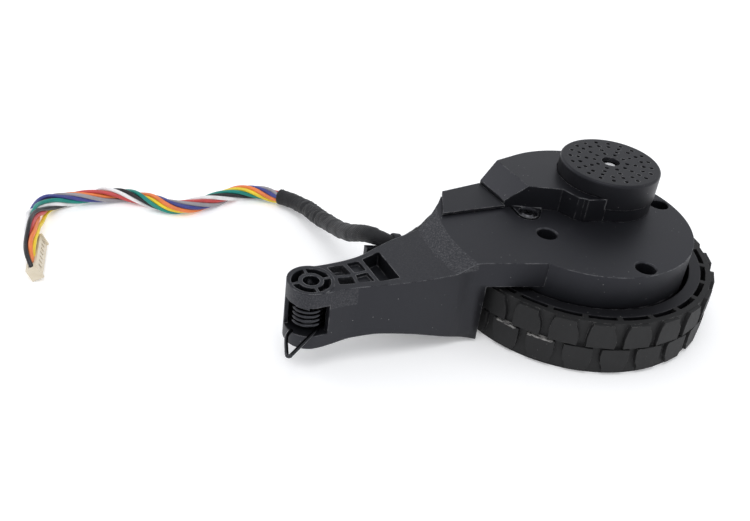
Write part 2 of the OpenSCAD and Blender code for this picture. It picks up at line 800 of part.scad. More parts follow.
shaft_top_z = top_bearing_z + bearing_w;
module output_shaft() {
    color("#b4b7ba")
        translate([wheel[0], wheel[1], 0])
            difference() {
                translate([0, 0, disc_z + hub_seat_d + 0.1])
                    cylinder(r = shaft_r, h = shaft_top_z - disc_z - hub_seat_d - 0.1);
                translate([shaft_r * 0.72, -5, disc_z])
                    cube([10, 10, hub_top_z + 0.2 - disc_z]);
                translate([0, 0, disc_z])
                    cylinder(r = 0.8, h = 9, $fn = 24);
            }
}

// Outline of a gear with stub involute teeth, one of them centred on the angle first_a
function involute(a) = tan(a) * 180 / PI - a;
function half_tooth(n, pr, r) = let (base = pr * cos(press_a))
    90 / n - lash / (2 * pr) * 180 / PI + involute(press_a) - involute(acos(min(1, base / r)));
module gear_plan(n, m, first_a) {
    pr = n * m / 2;
    tip = pr + addendum_k * m;
    root = pr - dedendum_k * m;
    start = max(root, pr * cos(press_a));
    flank = [for (k = [0:3]) start + (tip - start) * k / 3];
    polygon([for (i = [0:n - 1]) let (c = first_a + 360 * i / n) each concat(
        [let (a = c - half_tooth(n, pr, start)) root * [cos(a), sin(a)]],
        [for (r = flank) let (a = c - half_tooth(n, pr, r)) r * [cos(a), sin(a)]],
        [for (k = [3:-1:0]) let (r = flank[k], a = c + half_tooth(n, pr, r)) r * [cos(a), sin(a)]],
        [let (a = c + half_tooth(n, pr, start)) root * [cos(a), sin(a)]])]);
}

module gear(n, m, h, first_a) {
    linear_extrude(h)
        gear_plan(n, m, first_a);
}

module output_gear() {
    color("#d9d6cc")
        translate([wheel[0], wheel[1], output_z])
            difference() {
                gear(large_n, coarse_m, output_t, heading(wheel, stage2));
                translate([0, 0, -1])
                    cylinder(r = shaft_r, h = output_t + 2);
                translate([0, 0, output_t - 1.4])
                    difference() {
                        cylinder(r = output_pr - 2.2, h = 3);
                        translate([0, 0, -1])
                            cylinder(r = shaft_r + 2.2, h = 5);
                    }
            }
}

module bearing(in_r, out_r, w) {
    lip = (out_r - in_r) * 0.28;
    difference() {
        cylinder(r = out_r, h = w);
        translate([0, 0, -1])
            cylinder(r = in_r, h = w + 2);
        for (z = [-1, w - 0.25])
            translate([0, 0, z])
                difference() {
                    cylinder(r = out_r - lip, h = 1.25);
                    translate([0, 0, -1])
                        cylinder(r = in_r + lip, h = 4);
                }
    }
}

module wheel_bearings() {
    color("#c3c5c8")
        translate([wheel[0], wheel[1], 0]) {
            translate([0, 0, low_bearing_z])
                bearing(shaft_r + run_gap, bearing_r, bearing_w);
            translate([0, 0, top_bearing_z])
                bearing(shaft_r + run_gap, bearing_r, bearing_w);
        }
}

module hub_screw() {
    color("#a9abae")
        translate([wheel[0], wheel[1], disc_z + hub_seat_d])
            rotate([180, 0, 0])
                union() {
                    cylinder(r = 3.6, h = 0.4);
                    translate([0, 0, 0.4 - eps])
                        pan_screw(2.3, 0.8, 0.75, 7);
                }
}

module stage_one_gear() {
    color("#e3e0d6")
        translate([stage1[0], stage1[1], 0])
            difference() {
                union() {
                    translate([0, 0, stage2_z])
                        gear(small_n, fine_m, stage1_z - stage2_z, heading(stage1, stage2) + 180 / small_n);
                    translate([0, 0, stage1_z])
                        gear(stage1_n, fine_m, stage1_t, heading(stage1, motor));
                }
                translate([0, 0, -1])
                    cylinder(r = axle_r + run_gap, h = 30);
            }
}

module stage_two_gear() {
    collar_r = small_fine_pr + large_fine_pr - stage1_pr - addendum_k * fine_m - 0.2;
    color("#e3e0d6")
        translate([stage2[0], stage2[1], 0])
            difference() {
                union() {
                    translate([0, 0, output_z])
                        gear(small_n, coarse_m, stage2_z - output_z, heading(stage2, wheel) + 180 / small_n);
                    translate([0, 0, stage2_z])
                        gear(large_n, fine_m, stage2_t, heading(stage2, stage1));
                    translate([0, 0, stage2_z])
                        cylinder(r = collar_r, h = stage_top_z - stage2_z);
                }
                translate([0, 0, -1])
                    cylinder(r = axle_r + run_gap, h = 30);
            }
}

module gear_axles() {
    color("#c9cbcd")
        for (p = [stage1, stage2])
            translate([p[0], p[1], case_low_z + 0.8])
                cylinder(r = axle_r, h = stage_top_z + 3.8 - case_low_z - 0.8);
}

pinion_z = stage1_z - 0.2;
module motor_pinion() {
    color("#c8a24a")
        translate([motor[0], motor[1], pinion_z])
            difference() {
                gear(pinion_n, fine_m, stage1_t + 0.6, heading(motor, stage1) + 180 / pinion_n);
                translate([0, 0, -1])
                    cylinder(r = motor_shaft_r, h = 10);
            }
}

// Motor, from the base on the deck up to the bell under the cap
tube_r = 3.7;
motor_bearing_r = 2 * motor_shaft_r;
motor_bearing_w = 2.5;
base_t = 1;
board_z = deck_z + base_t;
board_t = 0.8;
bell_top_z = cap_z - cap_t - 0.4;
bell_t = 0.8;
bell_low_z = board_z + board_t + 0.7;
tube_low_z = deck_z - 5.3;
tube_top_z = bell_top_z - bell_t - 0.5;
bell_r = ring_in_r - bell_gap;
magnet_out_r = bell_r - bell_t;
stator_r = magnet_out_r - magnet_t - air_gap;
stator_z = bell_low_z + 0.9;
coil_head = 0.6;
stator_h = bell_top_z - bell_t - 0.9 - coil_head - stator_z;

module motor_shaft() {
    color("#d5d7d9")
        translate([motor[0], motor[1], pinion_z - 0.4])
            cylinder(r = motor_shaft_r, h = cap_z - 1.2 - pinion_z + 0.4);
}

module rotor_bell() {
    color("#9a9da1")
        translate([motor[0], motor[1], 0])
            difference() {
                union() {
                    translate([0, 0, bell_low_z])
                        difference() {
                            cylinder(r = bell_r, h = bell_top_z - bell_low_z);
                            translate([0, 0, -bell_t])
                                cylinder(r = magnet_out_r, h = bell_top_z - bell_low_z);
                        }
                    translate([0, 0, bell_top_z - eps])
                        cylinder(r = cap_hole_r - 0.4, h = 0.3);
                }
                cylinder(r = motor_shaft_r, h = 60);
                for (k = [0:5])
                    rotate([0, 0, 60 * k + 30])
                        translate([(tube_r + magnet_out_r) / 2 - 0.5, 0, bell_low_z])
                            cylinder(r = 2, h = 20, $fn = 32);
            }
}

module rotor_magnets() {
    gap_a = 3;
    color("#5d5a55")
        translate([motor[0], motor[1], bell_low_z + 0.4])
            for (k = [0:pole_n - 1])
                rotate([0, 0, 360 * k / pole_n])
                    rotate_extrude(angle = 360 / pole_n - gap_a)
                        translate([magnet_out_r - magnet_t, 0])
                            square([magnet_t, stator_h + 2]);
}

module stator_core() {
    hub_r = tube_r + 1.4;
    shoe_t = 0.8;
    shoe_a = 180 / stator_n - 4.5;
    color("#7d8084")
        translate([motor[0], motor[1], stator_z])
            linear_extrude(stator_h)
                difference() {
                    union() {
                        circle(r = hub_r);
                        for (k = [0:stator_n - 1])
                            rotate([0, 0, 360 * k / stator_n])
                                translate([hub_r - 1, -0.8])
                                    square([stator_r - shoe_t / 2 - hub_r + 1, 1.6]);
                        intersection() {
                            difference() {
                                circle(r = stator_r, $fn = round_fn);
                                circle(r = stator_r - shoe_t, $fn = round_fn);
                            }
                            for (k = [0:stator_n - 1])
                                rotate([0, 0, 360 * k / stator_n])
                                    polygon([[0, 0], 2 * stator_r * [cos(shoe_a), -sin(shoe_a)],
                                        2 * stator_r * [cos(shoe_a), sin(shoe_a)]]);
                        }
                    }
                    circle(r = tube_r);
                }
}

module stator_coils() {
    inner = tube_r + 1.9;
    outer = stator_r - 1.3;
    color("#b3672f")
        translate([motor[0], motor[1], stator_z])
            for (k = [0:stator_n - 1])
                rotate([0, 0, 360 * k / stator_n])
                    difference() {
                        translate([0, 0, -coil_head])
                            linear_extrude(stator_h + 2 * coil_head)
                                polygon([[inner, -1.6], [outer, -2.4], [outer, 2.4], [inner, 1.6]]);
                        translate([0, -0.85, -0.05])
                            cube([20, 1.7, stator_h + 0.1]);
                    }
}

module motor_base() {
    color("#8e9194")
        translate([motor[0], motor[1], 0])
            difference() {
                union() {
                    translate([0, 0, deck_z])
                        cylinder(r = ring_in_r - 0.2, h = base_t);
                    translate([0, 0, tube_low_z])
                        cylinder(r = tube_r, h = tube_top_z - tube_low_z);
                }
                cylinder(r = motor_bearing_r - 0.7, h = 60);
                translate([0, 0, tube_low_z - 1])
                    cylinder(r = motor_bearing_r, h = motor_bearing_w + 1.2);
                translate([0, 0, tube_top_z - motor_bearing_w - 0.2])
                    cylinder(r = motor_bearing_r, h = 10);
            }
}

module motor_bearings() {
    color("#c3c5c8")
        translate([motor[0], motor[1], 0]) {
            translate([0, 0, tube_low_z + 0.2])
                bearing(motor_shaft_r + run_gap, motor_bearing_r, motor_bearing_w);
            translate([0, 0, tube_top_z - motor_bearing_w - 0.2])
                bearing(motor_shaft_r + run_gap, motor_bearing_r, motor_bearing_w);
        }
}

module sensor_board() {
    color("#1f5a3c")
        translate([motor[0], motor[1], board_z]) {
            difference() {
                cylinder(r = bell_r - 0.3, h = board_t);
                translate([0, 0, -1])
                    cylinder(r = tube_r + 0.15, h = 4);
            }
            for (a = [100, 140, 180])
                rotate([0, 0, a])
                    translate([magnet_out_r - 1.1, -1.2, board_t - eps])
                        cube([1, 2.4, 0.5]);
        }
}

// Route of the harness, chosen by hand: out of the duct, along the arm's far wall, over the clip
// and down to the surface, then across it to the connector
sleeve_route = [[68, 19.4, 15.8], [62, 19.6, 15.8], [57, 19.5, 15.8], [52, 18.7, 15.6], [47.5, 17.4, 14.7],
    [43, 16.6, 12], [38.5, 16.7, 10.4], [34.2, 16.8, 11], [30.5, 18.2, 12], [28.4, 20.6, 11.9], [27.3, 23.6, 10.9],
    [26.7, 27.8, 8.4], [27.1, 34.3, 5.2], [27.6, 39.4, 3.2], [28.1, 46.6, 0.9], [28.4, 53.3, -1],
    [28.5, 60.6, -2.6], [27.5, 65.7, -3.5], [26.2, 69, -3.9], [24.1, 72.1, -4.2]];
wire_route = [[24.1, 72.1, -4.2], [19.5, 76.7, -4.6], [14.5, 79.6, -4.7], [7.8, 78.3, -4.7],
    [1.3, 76.6, -4.7], [-5, 75.3, -4.7], [-10.2, 76.8, -4.7], [-14.1, 82, -4.7], [-18.5, 86.2, -4.7],
    [-23.3, 89.3, -4.7], [-28.5, 90.4, -4.7], [-34, 90.4, -4.7], [-39.3, 90.8, -4.7],
    [-44.3, 90.3, -4.6], [-47.8, 87.4, -4.2], [-50.5, 82.1, -3.4], [-52.4, 75.4, -2], [-54, 68.4, -0.4],
    [-55, 64.8, 0.2], [-55.2, 62.6, -1.2]];

module harness_sleeve() {
    path = smooth(sleeve_route, 2);
    color("#3a3b3e")
        tube(path, [for (p = path) sleeve_d / 2], 10);
}

module wire_bundle() {
    path = smooth(wire_route, 2);
    last = len(path) - 1;
    color("#c9b23a")
        tube(path, [for (i = [0:last]) i > last - 3 ? 0.33 * bundle_d : bundle_d / 2], 8);
}

tie_t = 0.9;
tie_w = 2.4;
tie_gap = 0.3;
tie_i = 7;
module cable_tie() {
    d = sleeve_route[tie_i + 1] - sleeve_route[tie_i - 1];
    color("#151618")
        translate(sleeve_route[tie_i])
            rotate([0, 0, atan2(d[1], d[0])])
                rotate([0, 90 - asin(d[2] / norm(d)), 0])
                    translate([0, 0, -tie_w / 2])
                        difference() {
                            cylinder(r = sleeve_d / 2 + tie_gap + tie_t, h = tie_w);
                            translate([0, 0, -1])
                                cylinder(r = sleeve_d / 2 + tie_gap, h = tie_w + 2);
                        }
}

// Connector, leaning on the surface: row along its own X, wires enter at its own +Z
conn_depth = 3.9;
conn_t = 2.9;
conn_margin = 1.45;
conn_l = (pin_n - 1) * pin_pitch + 2 * conn_margin;
module at_connector() {
    translate([-53.9, 53.5, -5.79])
        rotate([0, 0, 73])
            rotate([-24.5, 0, 0])
                children();
}

module connector_housing() {
    slot_h = 1.5;
    color("#e6ddc9")
        at_connector()
            difference() {
                union() {
                    cube([conn_l, conn_t, conn_depth]);
                    for (x = [0, conn_l - 0.8])
                        translate([x, -0.5, 0])
                            cube([0.8, 0.55, conn_depth]);
                }
                for (k = [0:pin_n - 1])
                    translate([conn_margin + k * pin_pitch, 0, 0]) {
                        translate([-0.6, 0.75, -1])
                            cube([1.2, 1.4, conn_depth + 2]);
                        translate([-0.35, -1, 1.2])
                            cube([0.7, 2.5, slot_h]);
                    }
            }
}

module connector_contacts() {
    color("#c9c6bd")
        at_connector()
            for (k = [0:pin_n - 1])
                translate([conn_margin + k * pin_pitch - 0.55, 0.85, 0.4])
                    difference() {
                        cube([1.1, 1.2, conn_depth - 0.6]);
                        translate([0.25, 0.25, -1])
                            cube([0.6, 0.7, 3]);
                    }
}

arm_case();
gear_case_cover();
motor_cover();
motor_cap();
cable_cover();
cover_screw();
case_screws();
spring_coil();
spring_leg();
tyre();
wheel_hub();
output_shaft();
output_gear();
wheel_bearings();
hub_screw();
stage_one_gear();
stage_two_gear();
gear_axles();
motor_pinion();
motor_shaft();
rotor_bell();
rotor_magnets();
stator_core();
stator_coils();
motor_base();
motor_bearings();
sensor_board();
cable_tie();
harness_sleeve();
wire_bundle();
connector_housing();
connector_contacts();
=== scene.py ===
"""Looks of a robot vacuum's drive wheel module: finishes, twisted wires, wound sleeve and studio."""

import json
import logging
import math
from dataclasses import dataclass, field
from typing import Callable, Optional, Sequence, Union

import bmesh
import bpy
from mathutils import Matrix, Vector, kdtree, noise


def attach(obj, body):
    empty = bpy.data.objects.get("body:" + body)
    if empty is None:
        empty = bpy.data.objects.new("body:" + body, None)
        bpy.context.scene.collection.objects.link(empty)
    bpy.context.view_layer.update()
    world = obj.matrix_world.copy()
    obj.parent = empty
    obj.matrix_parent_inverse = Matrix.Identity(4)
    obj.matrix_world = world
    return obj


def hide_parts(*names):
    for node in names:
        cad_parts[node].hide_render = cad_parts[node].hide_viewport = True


logging.basicConfig(level=logging.INFO, format="%(message)s")
LOG = logging.getLogger("module")

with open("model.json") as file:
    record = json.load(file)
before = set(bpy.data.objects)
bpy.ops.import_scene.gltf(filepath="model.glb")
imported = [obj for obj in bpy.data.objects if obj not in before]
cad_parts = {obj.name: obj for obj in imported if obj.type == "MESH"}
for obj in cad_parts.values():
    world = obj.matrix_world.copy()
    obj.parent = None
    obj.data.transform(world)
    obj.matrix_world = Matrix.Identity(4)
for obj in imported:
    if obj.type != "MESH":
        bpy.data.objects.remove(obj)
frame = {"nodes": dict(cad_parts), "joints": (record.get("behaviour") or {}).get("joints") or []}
NODES = frame["nodes"]

# Lengths are in millimetres where no comment says otherwise, and MM turns them into metres
MM = 0.001
FLOOR_Z = -7.0
NO_LENGTH = 1e-6
Number = Union[int, float]
Colour = tuple[float, float, float]
Point = tuple[Number, Number, Number]

# Where the wheel turns, and the middle of the cone that the arm's ramp is part of
wheel_spin = next(j for j in frame["joints"] if j["name"] == "wheel_spin")
WHEEL = tuple(c / MM for c in wheel_spin["pos_m"][:2])
RAMP = (WHEEL[0], WHEEL[1] - 2.0)


# Shader maths


class Value:
    """A shader value: an output socket of a node, or a number, with arithmetic on it."""

    def __init__(self, graph: "Graph", socket: object) -> None:
        """Wrap an output socket or a number."""
        self.graph = graph
        self.socket = socket

    def maths(self, operation: str, *others: object, clamp: bool = False) -> "Value":
        """Return the result of a Math node.

        Args:
            operation: The node's operation.
            others: The further operands.
            clamp: Whether the result is kept from 0 to 1.
        """
        return self.graph.node(
            "ShaderNodeMath",
            {"operation": operation, "use_clamp": clamp},
            {i: v for i, v in enumerate((self, *others))},
        )

    def __add__(self, other: object) -> "Value":
        """Add a value or number."""
        return self.maths("ADD", other)

    def __radd__(self, other: object) -> "Value":
        """Add this to a number."""
        return Value(self.graph, other).maths("ADD", self)

    def __sub__(self, other: object) -> "Value":
        """Take a value or number away."""
        return self.maths("SUBTRACT", other)

    def __rsub__(self, other: object) -> "Value":
        """Take this away from a number."""
        return Value(self.graph, other).maths("SUBTRACT", self)

    def __mul__(self, other: object) -> "Value":
        """Multiply by a value or number."""
        return self.maths("MULTIPLY", other)

    def __pow__(self, other: object) -> "Value":
        """Raise to a power."""
        return self.maths("POWER", other)

    def clamped(self) -> "Value":
        """Return the value kept from 0 to 1."""
        return self.maths("ADD", 0.0, clamp=True)

    def ramp(self, low: Number, high: Number) -> "Value":
        """Return a smooth step: 0 where the value is at most low, 1 where it is at least high."""
        return self.graph.node(
            "ShaderNodeMapRange",
            {"interpolation_type": "SMOOTHSTEP"},
            {"Value": self, "From Min": low, "From Max": high},
            "Result",
        )


class Graph:
    """A material's node tree, with short ways to add nodes to it.

    A Mix node has its sockets once for each kind of data, under the same names, so they are told
    apart by number.
    """

    mix_share = 0
    mix_colours = (6, 7)
    mix_vectors = (4, 5)
    mixed_colour = 2
    mixed_vector = 1
    wide_rounding_mm = 4.2

    def __init__(self, name: str) -> None:
        """Make an empty material of that name."""
        self.material = bpy.data.materials.new(name)
        self.material.use_nodes = True
        self.tree = self.material.node_tree
        self.tree.nodes.clear()

    def node(
        self,
        kind: str,
        settings: dict[str, object],
        inputs: dict[Union[int, str], object],
        output: Union[int, str] = 0,
    ) -> Value:
        """Add a node.

        Args:
            kind: The node's type.
            settings: Its properties.
            inputs: A value, number, colour or vector for each input.
            output: The output to return.

        Returns:
            That output.
        """
        made = self.tree.nodes.new(kind)
        for key, value in settings.items():
            setattr(made, key, value)
        for key, value in inputs.items():
            if isinstance(value, Value):
                value = value.socket
            if isinstance(value, bpy.types.NodeSocket):
                self.tree.links.new(value, made.inputs[key])
            elif value is not None:
                made.inputs[key].default_value = value
        return Value(self, made.outputs[output])

    def place(self) -> Value:
        """Return the surface point in the object's own space, in millimetres."""
        where = self.node("ShaderNodeTexCoord", {}, {}, "Object")
        return self.scaled(where, (1.0 / MM,) * 3)

    def scaled(self, vector: Value, factors: Sequence[Number]) -> Value:
        """Return a vector with each axis multiplied by its factor."""
        inputs = {0: vector, 1: tuple(factors)}
        return self.node("ShaderNodeVectorMath", {"operation": "MULTIPLY"}, inputs)

    def turned(self, vector: Value, angle: Number) -> Value:
        """Return a vector turned about the upright axis, by an angle in radians."""
        inputs = {"Vector": vector, "Angle": angle}
        return self.node("ShaderNodeVectorRotate", {"rotation_type": "Z_AXIS"}, inputs)

    def axis(self, vector: Value, name: str) -> Value:
        """Return the X, Y or Z coordinate of a vector."""
        return self.node("ShaderNodeSeparateXYZ", {}, {0: vector}, name)

    def cloud(self, vector: Value, scale: Number, detail: Number = 3.0, rough: Number = 0.55) -> Value:
        """Return fractal noise, about 0.5 on average.

        Args:
            vector: Where to read it.
            scale: Its spots for each unit of length.
            detail: How many finer octaves it has.
            rough: How strong they are.
        """
        inputs = {"Vector": vector, "Scale": scale, "Detail": detail, "Roughness": rough}
        return self.node("ShaderNodeTexNoise", {}, inputs)

    def cells(self, vector: Value, scale: Number) -> Value:
        """Return the distance to the nearest of scattered points, so many to a millimetre."""
        return self.node("ShaderNodeTexVoronoi", {}, {"Vector": vector, "Scale": scale}, "Distance")

    def mix(self, share: object, one: object, other: object) -> Value:
        """Mix two colours.

        Args:
            share: How much of the other colour shows.
            one: The first colour.
            other: The other colour.

        Returns:
            The mixed colour.
        """
        first, second = self.mix_colours
        return self.node(
            "ShaderNodeMix",
            {"data_type": "RGBA", "clamp_factor": True},
            {self.mix_share: share, first: rgba(one), second: rgba(other)},
            self.mixed_colour,
        )

    def rounded(self, radius: Number, samples: int = 4) -> Value:
        """Return the normal that the surface would have with its edges rounded.

        Args:
            radius: How far they are rounded, in millimetres.
            samples: How many directions are tried at each point.
        """
        return self.node("ShaderNodeBevel", {"samples": samples}, {"Radius": radius * MM})

    def edges(self, width: Number) -> Value:
        """Return a mask of the surface within that many millimetres of an edge."""
        true = self.node("ShaderNodeNewGeometry", {}, {}, "Normal")
        # where the rounded normal leaves the true one, an edge is near
        inputs = {0: self.rounded(width), 1: true}
        dot = self.node("ShaderNodeVectorMath", {"operation": "DOT_PRODUCT"}, inputs, "Value")
        return (1.0 - dot).ramp(0.02, 0.17)

    def bump(
        self, height: Value, depth: Number, rounding: Number = 0.0, wider: Optional[Value] = None
    ) -> Value:
        """Turn a height into a normal.

        Args:
            height: The height, from 0 to 1.
            depth: What 1 stands for, in millimetres.
            rounding: How far edges are rounded, in millimetres.
            wider: Where they are rounded much further.

        Returns:
            The normal.
        """
        below = self.rounded(rounding) if rounding else None
        if wider is not None:
            first, second = self.mix_vectors
            below = self.node(
                "ShaderNodeMix",
                {"data_type": "VECTOR"},
                {self.mix_share: wider, first: below, second: self.rounded(self.wide_rounding_mm, 8)},
                self.mixed_vector,
            )
        inputs = {"Height": height, "Distance": depth * MM, "Strength": 1.0, "Normal": below}
        return self.node("ShaderNodeBump", {}, inputs)

    def finish(self, inputs: dict[str, object]) -> bpy.types.Material:
        """Add the surface with the Principled shader's inputs, and return the material."""
        inputs = {k: rgba(v) if k.endswith("Color") else v for k, v in inputs.items()}
        surface = self.node("ShaderNodeBsdfPrincipled", {}, inputs)
        out = self.tree.nodes.new("ShaderNodeOutputMaterial")
        self.tree.links.new(surface.socket, out.inputs["Surface"])
        LOG.info("material %s: %d nodes", self.material.name, len(self.tree.nodes))
        return self.material


def rgba(colour: object) -> object:
    """Return a colour of three numbers with its alpha, and anything else as it is."""
    return (*colour, 1.0) if isinstance(colour, tuple) and len(colour) == 3 else colour


# Finishes
# A cloud's or cell's scale is in spots for each millimetre, and a ramp has the limits of its step


@dataclass(frozen=True)
class Band:
    """A ring-shaped part of a surface round an upright axis, between two heights, in millimetres."""

    centre: tuple[float, float]
    inner: float
    outer: float
    low: float
    high: float
    soft: float = 0.15

    def mask(self, g: Graph, p: Value) -> Value:
        """Return 1 inside the band and 0 outside it."""
        x, y = g.axis(p, "X") - self.centre[0], g.axis(p, "Y") - self.centre[1]
        z = g.axis(p, "Z")
        r = (x * x + y * y) ** 0.5
        ring = r.ramp(self.inner - self.soft, self.inner + self.soft)
        ring = ring * (1.0 - r.ramp(self.outer - self.soft, self.outer + self.soft))
        layer = z.ramp(self.low - self.soft, self.low) * (1.0 - z.ramp(self.high, self.high + self.soft))
        return ring * layer


@dataclass(frozen=True)
class Sector:
    """A stretch of a wheel's rim between two angles, in degrees."""

    centre: tuple[float, float]
    first: float
    last: float
    soft: float = 0.8

    def mask(self, g: Graph, p: Value) -> Value:
        """Return 1 between the angles and 0 outside them."""
        x, y = g.axis(p, "X") - self.centre[0], g.axis(p, "Y") - self.centre[1]
        a = y.maths("ARCTAN2", x) * math.degrees(1.0)
        return a.ramp(self.first, self.first + self.soft) * (1.0 - a.ramp(self.last - self.soft, self.last))


@dataclass(frozen=True)
class Finish:
    """A finish: its name, its colour and the surface that it gives."""

    name: str
    base: Colour

    def surface(self, g: Graph, p: Value) -> dict[str, object]:
        """Return the Principled shader's inputs.

        Args:
            g: The graph.
            p: The surface point, in millimetres.
        """
        raise NotImplementedError

    def build(self) -> bpy.types.Material:
        """Return the finished material."""
        g = Graph(self.name)
        return g.finish(self.surface(g, g.place()))


@dataclass(frozen=True)
class MouldedPlastic(Finish):
    """Dark moulded plastic with a fine grain, dust, handling scratches, and edges painted lighter, partly as
    rubbed wear and partly as a painted highlight.
    """

    roughness: float = 0.45
    grain_mm: float = 0.35
    relief_mm: float = 0.012
    rounding_mm: float = 0.4
    # the band along the edges is painted lighter, partly as rubbed wear and partly as a painted highlight;
    # its width and strength are set here
    edge_mark_mm: float = 0.45
    dust: float = 0.5
    wear_and_highlight: float = 0.7
    sheen: float = 0.4
    glint: tuple[float, ...] = (0.95, 0.96, 1.08, 1.0)
    dust_colour: Colour = (0.36, 0.36, 0.35)
    powder_colour: Colour = (0.14, 0.14, 0.145)
    powdered: tuple[tuple[Band, float], ...] = ()
    polished: Optional[Band] = None
    turned_in: Optional[Band] = None

    def specks(self, g: Graph, p: Value) -> Value:
        """Return sparse specks of dust, thicker in some places."""
        grains = 1.0 - g.cells(p, 0.55).ramp(0.05, 0.085)
        return grains * g.cloud(p, 0.09, 2.0).ramp(0.48, 0.62) * self.dust

    def scratches(self, g: Graph, p: Value) -> Value:
        """Return fine scratches, which are long thin cells in two directions."""
        along = g.cells(g.scaled(g.turned(p, 0.6), (1.3, 0.05, 0.4)), 0.5)
        across = g.cells(g.scaled(g.turned(p, -0.9), (1.5, 0.045, 0.4)), 0.4)
        lines = (1.0 - along.ramp(0.004, 0.012)) + (1.0 - across.ramp(0.003, 0.01))
        return lines * g.cloud(p, 0.12, 2.0).ramp(0.52, 0.7) * self.dust * 0.5

    def flecks(self, g: Graph, p: Value) -> Value:
        """Return how thickly powder lies: a thin film with patches and single grains."""
        patches = g.cloud(p, 2.2, 5.0, 0.8).ramp(0.46, 0.64) * 0.4
        grains = (1.0 - g.cells(p, 2.3).ramp(0.1, 0.2)) * 0.6
        return 0.07 + patches + grains

    def surface(self, g: Graph, p: Value) -> dict[str, object]:
        """Return the Principled shader's inputs."""
        broad = g.cloud(p, 0.045, 3.0)
        fine = g.cloud(p, 1.0 / self.grain_mm, 2.0)
        patchy = g.cloud(p, 0.35, 4.0, 0.65)
        # edges are painted lighter in patches: partly rubbed wear, partly a painted highlight where the
        # rounded edges would catch the lamps
        rubbed_and_highlit = g.edges(self.edge_mark_mm) * patchy.ramp(0.38, 0.62) * self.wear_and_highlight
        speck = self.specks(g, p)
        scratch = self.scratches(g, p)
        light = tuple(min(1.0, c * 3.0 + 0.24) for c in self.base)
        pale = tuple(min(1.0, c * 1.6 + 0.002) for c in self.base)
        colour = g.mix(broad.ramp(0.3, 0.75) * 0.6, self.base, pale)
        colour = g.mix(rubbed_and_highlit, colour, light)
        colour = g.mix((speck + scratch).clamped(), colour, self.dust_colour)
        rough = self.roughness + (broad - 0.5) * 0.12 + (fine - 0.5) * 0.08 + speck * 0.2 - rubbed_and_highlit * 0.12
        for band, share in self.powdered:
            powder = band.mask(g, p) * share
            colour = g.mix((powder * self.flecks(g, p)).clamped(), colour, self.powder_colour)
            rough = rough + powder * 0.1
        if self.polished:
            rough = rough - self.polished.mask(g, p) * 0.28
        wider = self.turned_in.mask(g, p) if self.turned_in else None
        height = fine * 0.8 + patchy * 0.5 + scratch * -0.8
        return {
            "Base Color": colour,
            "Roughness": rough.clamped(),
            "Specular IOR Level": self.sheen,
            "Specular Tint": self.glint,
            "Normal": g.bump(height, self.relief_mm, self.rounding_mm, wider),
        }


@dataclass(frozen=True)
class TyreRubber(Finish):
    """Matt black rubber with smears, specks of dust and scuffs along the edges of the lugs."""

    base: Colour = (0.0075, 0.0075, 0.008)
    faded: Colour = (0.014, 0.014, 0.0145)
    smeared: Colour = (0.028, 0.0275, 0.027)
    torn_colour: Colour = (0.3, 0.29, 0.28)
    roughness: float = 0.62
    relief_mm: float = 0.03
    rounding_mm: float = 0.3
    edge_mark_mm: float = 0.18
    line: tuple[float, float] = (1.0, 1.42)
    scuffs: tuple[Sector, ...] = ()

    def torn(self, g: Graph, p: Value) -> Value:
        """Return the ragged marks along the line between the two rows of lugs."""
        low, high = self.line
        z = g.axis(p, "Z")
        at_line = z.ramp(low - 0.25, low) * (1.0 - z.ramp(high, high + 0.18))
        return at_line * g.cloud(g.scaled(p, (1.0, 1.0, 3.0)), 0.7, 4.0, 0.75).ramp(0.4, 0.55)

    def surface(self, g: Graph, p: Value) -> dict[str, object]:
        """Return the Principled shader's inputs."""
        broad = g.cloud(p, 0.08, 3.0)
        fine = g.cloud(p, 5.0, 3.0)
        smear = g.cloud(g.scaled(p, (1.0, 1.0, 0.35)), 0.5, 4.0, 0.7)
        grains = 1.0 - g.cells(p, 0.9).ramp(0.06, 0.09)
        speck = grains * g.cloud(p, 0.15, 2.0).ramp(0.52, 0.66) * 0.5
        colour = g.mix(broad.ramp(0.3, 0.8) * 0.5, self.base, self.faded)
        colour = g.mix(smear.ramp(0.55, 0.8) * 0.35, colour, self.smeared)
        scuffed = g.edges(self.edge_mark_mm) * smear.ramp(0.5, 0.62) * 0.55
        torn = self.torn(g, p)
        for scuff in self.scuffs:
            scuffed = scuffed + torn * scuff.mask(g, p) * 0.85
        colour = g.mix((scuffed + speck).clamped(), colour, self.torn_colour)
        rough = self.roughness + (smear - 0.5) * 0.2 + scuffed * 0.2
        return {
            "Base Color": colour,
            "Roughness": rough.clamped(),
            "Specular IOR Level": 0.34,
            "Normal": g.bump(fine * 0.6 + smear * 0.8, self.relief_mm, self.rounding_mm),
        }


@dataclass(frozen=True)
class Metal(Finish):
    """Turned, drawn or pressed metal with fine marks and a faint tarnish."""

    roughness: float = 0.3
    marks: tuple[float, float, float] = (1.0, 1.0, 14.0)
    tarnish: float = 0.25
    relief_mm: float = 0.008

    def surface(self, g: Graph, p: Value) -> dict[str, object]:
        """Return the Principled shader's inputs."""
        marks = g.cloud(g.scaled(p, self.marks), 0.9, 3.0, 0.6)
        stain = g.cloud(p, 0.35, 3.0)
        dark = tuple(c * 0.55 for c in self.base)
        colour = g.mix(stain.ramp(0.4, 0.75) * self.tarnish, self.base, dark)
        rough = self.roughness + (marks - 0.5) * 0.18 + (stain - 0.5) * 0.12
        return {
            "Base Color": colour,
            "Metallic": 1.0,
            "Roughness": rough.clamped(),
            "Normal": g.bump(marks, self.relief_mm),
        }


